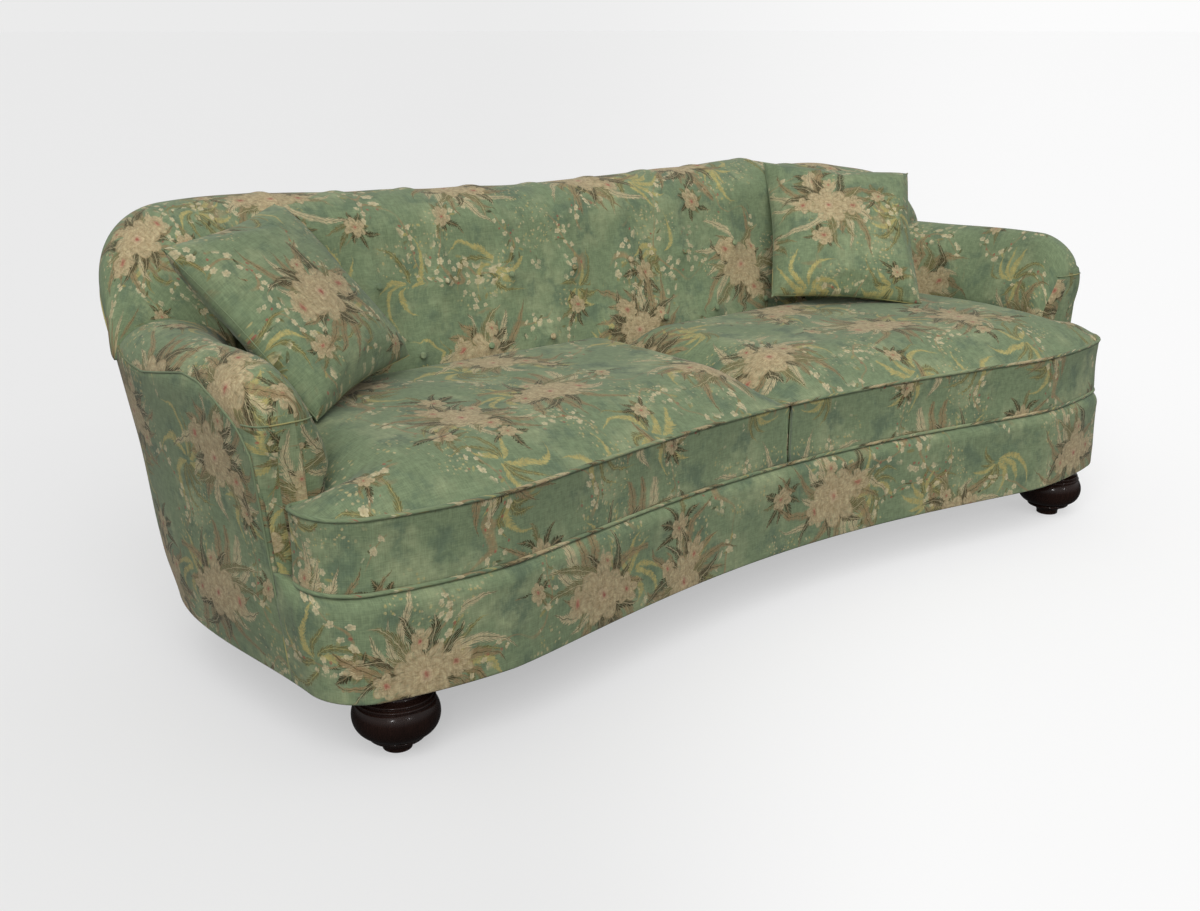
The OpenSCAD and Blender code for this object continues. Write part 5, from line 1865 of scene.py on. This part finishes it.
@dataclass
class TurnedFeet:
    """The four turned feet: a flared pad, a thin bead, a bun and two beads under the hem.

    A profile point is a radius and a height in millimetres.
    """

    finishes: Finishes
    radius: float = 79.5
    sides: int = 96

    def profile(self) -> Array:
        """Return the foot's profile from the floor to the frame."""
        r = self.radius
        bun = ellipse_arc((r * 0.64, 69), (r * 0.36, 35.5), (-76, 44), 30)
        return np.concatenate([
            [[24.6, 0.0]], ellipse_arc((24.6, 1.8), (2.2, 1.8), (-60, 0), 4),
            ellipse_arc((54.0, 4.0), (27.4, 19.5), (180, 116), 14),
            [[44.5, 23.0]], ellipse_arc((47.4, 26.8), (4.4, 3.6), (-80, 80), 12),
            [[49.0, 31.2], [52.5, 32.2]], bun,
            [[r * 0.872, 94.6]], ellipse_arc((r * 0.856, 98.4), (3.6, 3.5), (-75, 75), 10),
            [[r * 0.842, 102.4]], ellipse_arc((r * 0.818, 106.0), (3.4, 3.3), (-75, 75), 10),
            [[r * 0.79, 110.0], [r * 0.73, 113.0], [r * 0.7, 118.0], [r * 0.7, 132.6]]])

    def foot(self, node: str) -> bpy.types.Object:
        """Turn one foot at its CAD node's place."""
        low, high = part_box(node)
        x, y = ((low[k] + high[k]) / 2 / MM for k in range(2))
        line = self.profile()
        a = np.linspace(0, 2 * math.pi, self.sides, endpoint=False)
        rings = np.stack([x + line[:, :1] * np.cos(a), y + line[:, :1] * np.sin(a),
                          line[:, 1:] + 0 * a], -1)
        return skin_piece("turned_" + node, rings, Cloth())

    def build(self) -> None:
        """Build and dress the feet."""
        for end in ("front", "rear"):
            for side in Side:
                node = f"foot_{end}_{side.word}"
                dress(self.foot(node), self.finishes.wood, nodes=(node,))


@dataclass
class FrameParts:
    """The CAD's own pieces: timber, springs, webbing, bolts and linings."""

    finishes: Finishes

    def build(self) -> None:
        """Give each CAD node that still shows its finish."""
        by_slot = {
            "turned_wood": self.finishes.wood,
            "frame_timber": self.finishes.timber,
            "spring_steel": self.finishes.spring,
            "bolt_steel": self.finishes.bolt,
            "jute_webbing": self.finishes.jute,
            "black_lining": self.finishes.lining,
            "printed_linen": self.finishes.linen,
        }
        slots = {part["node"]: part["material_slot"] for part in frame["record"]["subparts"]}
        for name, piece in frame["nodes"].items():
            material = by_slot[slots[name]]
            for place in piece.material_slots:
                place.material = material
            if not piece.material_slots:
                piece.data.materials.append(material)
        LOG.info("%d frame nodes have their finish", len(slots))


@dataclass
class Studio:
    """The camera at the photograph's viewpoint, the pale floor and the soft lights."""

    place: tuple[float, float, float] = (-2.1283, -2.3548, 1.2278)
    pitch: float = 17.07
    yaw: float = 39.23
    focal_px: float = 1394.37
    sensor_mm: float = 36.0
    floor_left: str = "#ededed"
    floor_right: str = "#fdfdfd"
    sky_left: str = "#ebebeb"
    sky_right: str = "#fcfcfc"
    floor_reach: float = 400.0
    backdrop: float = 0.5
    ambient: float = 0.5
    ambient_low: float = 0.05
    suns: tuple = (("key", -38.0, 38.0, 60.0, 2.3), ("glint", -42.0, 29.0, 5.0, 0.16),
                   ("glint_right", 5.0, 29.0, 4.0, 0.07))

    def sweep(self, add: Add, way: Socket) -> Socket:
        """Return 0 to 1 from left to right by a level direction's turn from the view: the share by
        which floor and backdrop are painted lighter to the right, a painted falloff of light towards
        the left.
        """
        a = math.radians(self.yaw)
        level = add("VECTOR_NORMALIZE", add("VECTOR_MULTIPLY", way, (1.0, 1.0, 0.0)))
        side = add("VECTOR_DOT_PRODUCT", level, (math.cos(a), -math.sin(a), 0.0), out="Value")
        return add("MapRange", side, -0.1, 0.3, 0.0, 1.0, interpolation_type="SMOOTHSTEP")

    def camera(self) -> None:
        """Set up the camera: focal length in pixels over the photograph's width."""
        data = bpy.data.cameras.new("camera")
        data.sensor_width = self.sensor_mm
        data.sensor_fit = "HORIZONTAL"
        data.lens = self.focal_px / PHOTO_SIZE[0] * self.sensor_mm
        eye = bpy.data.objects.new("camera", data)
        eye.location = self.place
        eye.rotation_euler = (math.radians(90 - self.pitch), 0, math.radians(-self.yaw))
        bpy.context.scene.collection.objects.link(eye)
        bpy.context.scene.camera = eye

    def floor(self) -> None:
        """Lay the pale matt floor, whose colour is painted darker to the left where the light falls
        off.
        """
        far = self.floor_reach
        mesh = bpy.data.meshes.new("floor")
        corners = [(-far, -far, 0), (far, -far, 0), (far, far, 0), (-far, far, 0)]
        mesh.from_pydata(corners, [], [(0, 1, 2, 3)])
        floor = bpy.data.objects.new("floor", mesh)
        bpy.context.scene.collection.objects.link(floor)
        material, add = new_material("pale_floor")
        place = add("TexCoord", out="Object")
        cloud = add("TexNoise", place, Scale=0.6)
        # Painted light: the floor's colour, and the backdrop part mixed into it, darken to the left as
        # a painted falloff of the light
        share = self.sweep(add, add("VECTOR_SUBTRACT", place, self.place))
        share = add("MULTIPLY_ADD", add("SUBTRACT", cloud, 0.5), 0.04, share)
        colour = add("MixRGB", share, linear(self.floor_left), linear(self.floor_right))
        surface = add("BsdfPrincipled", Base_Color=colour, Roughness=0.9, Specular_IOR_Level=0.1)
        pale = add("MixRGB", share, linear(self.sky_left), linear(self.sky_right))
        pale = add("Emission", pale, 1.0)
        # The camera sees half of the floor as plain backdrop, which softens the shadow
        seen = add("MULTIPLY", add("LightPath", out="Is Camera Ray"), self.backdrop)
        add("OutputMaterial", add("MixShader", seen, surface, pale), out=None)
        mesh.materials.append(material)
        floor.visible_diffuse = False
        floor.visible_glossy = False

    def lights(self) -> None:
        """Set a soft white world, a wide sun, and two small ones for the lacquer's glints.

        The camera sees the world's background in its own colour, painted darker to the left where the
        light falls off, and reflections see the soft world a third dimmer.
        """
        world = bpy.data.worlds.new("studio")
        bpy.context.scene.world = world
        world.use_nodes = True
        world.node_tree.nodes.clear()
        add = partial(add_node, world.node_tree)
        seen = add("LightPath", out="Is Camera Ray")
        glossy = seen.node.outputs["Is Glossy Ray"]
        way = add("TexCoord", out="Generated")
        up = add("SeparateXYZ", way, out="Z")
        level = add("MapRange", up, -0.1, 0.3, self.ambient_low, self.ambient)
        level = add("MULTIPLY", level, add("MULTIPLY_ADD", glossy, -0.35, 1.0))
        soft = add("Background", (1, 1, 1, 1), level)
        # Painted light: the backdrop that the camera sees darkens to the left as a painted falloff of
        # the light
        tint = add("MixRGB", self.sweep(add, way), linear(self.sky_left), linear(self.sky_right))
        pale = add("Background", tint, 1.0)
        add("OutputWorld", add("MixShader", seen, soft, pale), out=None)
        for name, azimuth, elevation, spread, power in self.suns:
            data = bpy.data.lights.new(name, "SUN")
            data.angle = math.radians(spread)
            data.energy = power
            lamp = bpy.data.objects.new(name, data)
            lamp.visible_glossy = spread < 10
            a, e = math.radians(azimuth), math.radians(elevation)
            away = Vector((math.sin(a) * math.cos(e), -math.cos(a) * math.cos(e), math.sin(e)))
            lamp.rotation_euler = away.to_track_quat("Z", "Y").to_euler()
            bpy.context.scene.collection.objects.link(lamp)
        bpy.context.scene.view_settings.view_transform = "Standard"

    def build(self) -> None:
        """Build the studio."""
        self.camera()
        self.floor()
        self.lights()


def main() -> None:
    """Build the sofa piece by piece and report each one."""
    logging.basicConfig(level=logging.INFO, format="%(name)s: %(message)s")
    Studio().build()
    finishes = Finishes.make()
    covers = OutsideCovers(PLAN, finishes)
    covers.build()
    Arms(PLAN, covers, finishes).build()
    Back(PLAN, finishes).build()
    seat = SeatCushions(PLAN, finishes)
    seat.build()
    ScatterCushions(seat, finishes).build()
    TurnedFeet(finishes).build()
    FrameParts(finishes).build()


if __name__ == "__main__":
    main()
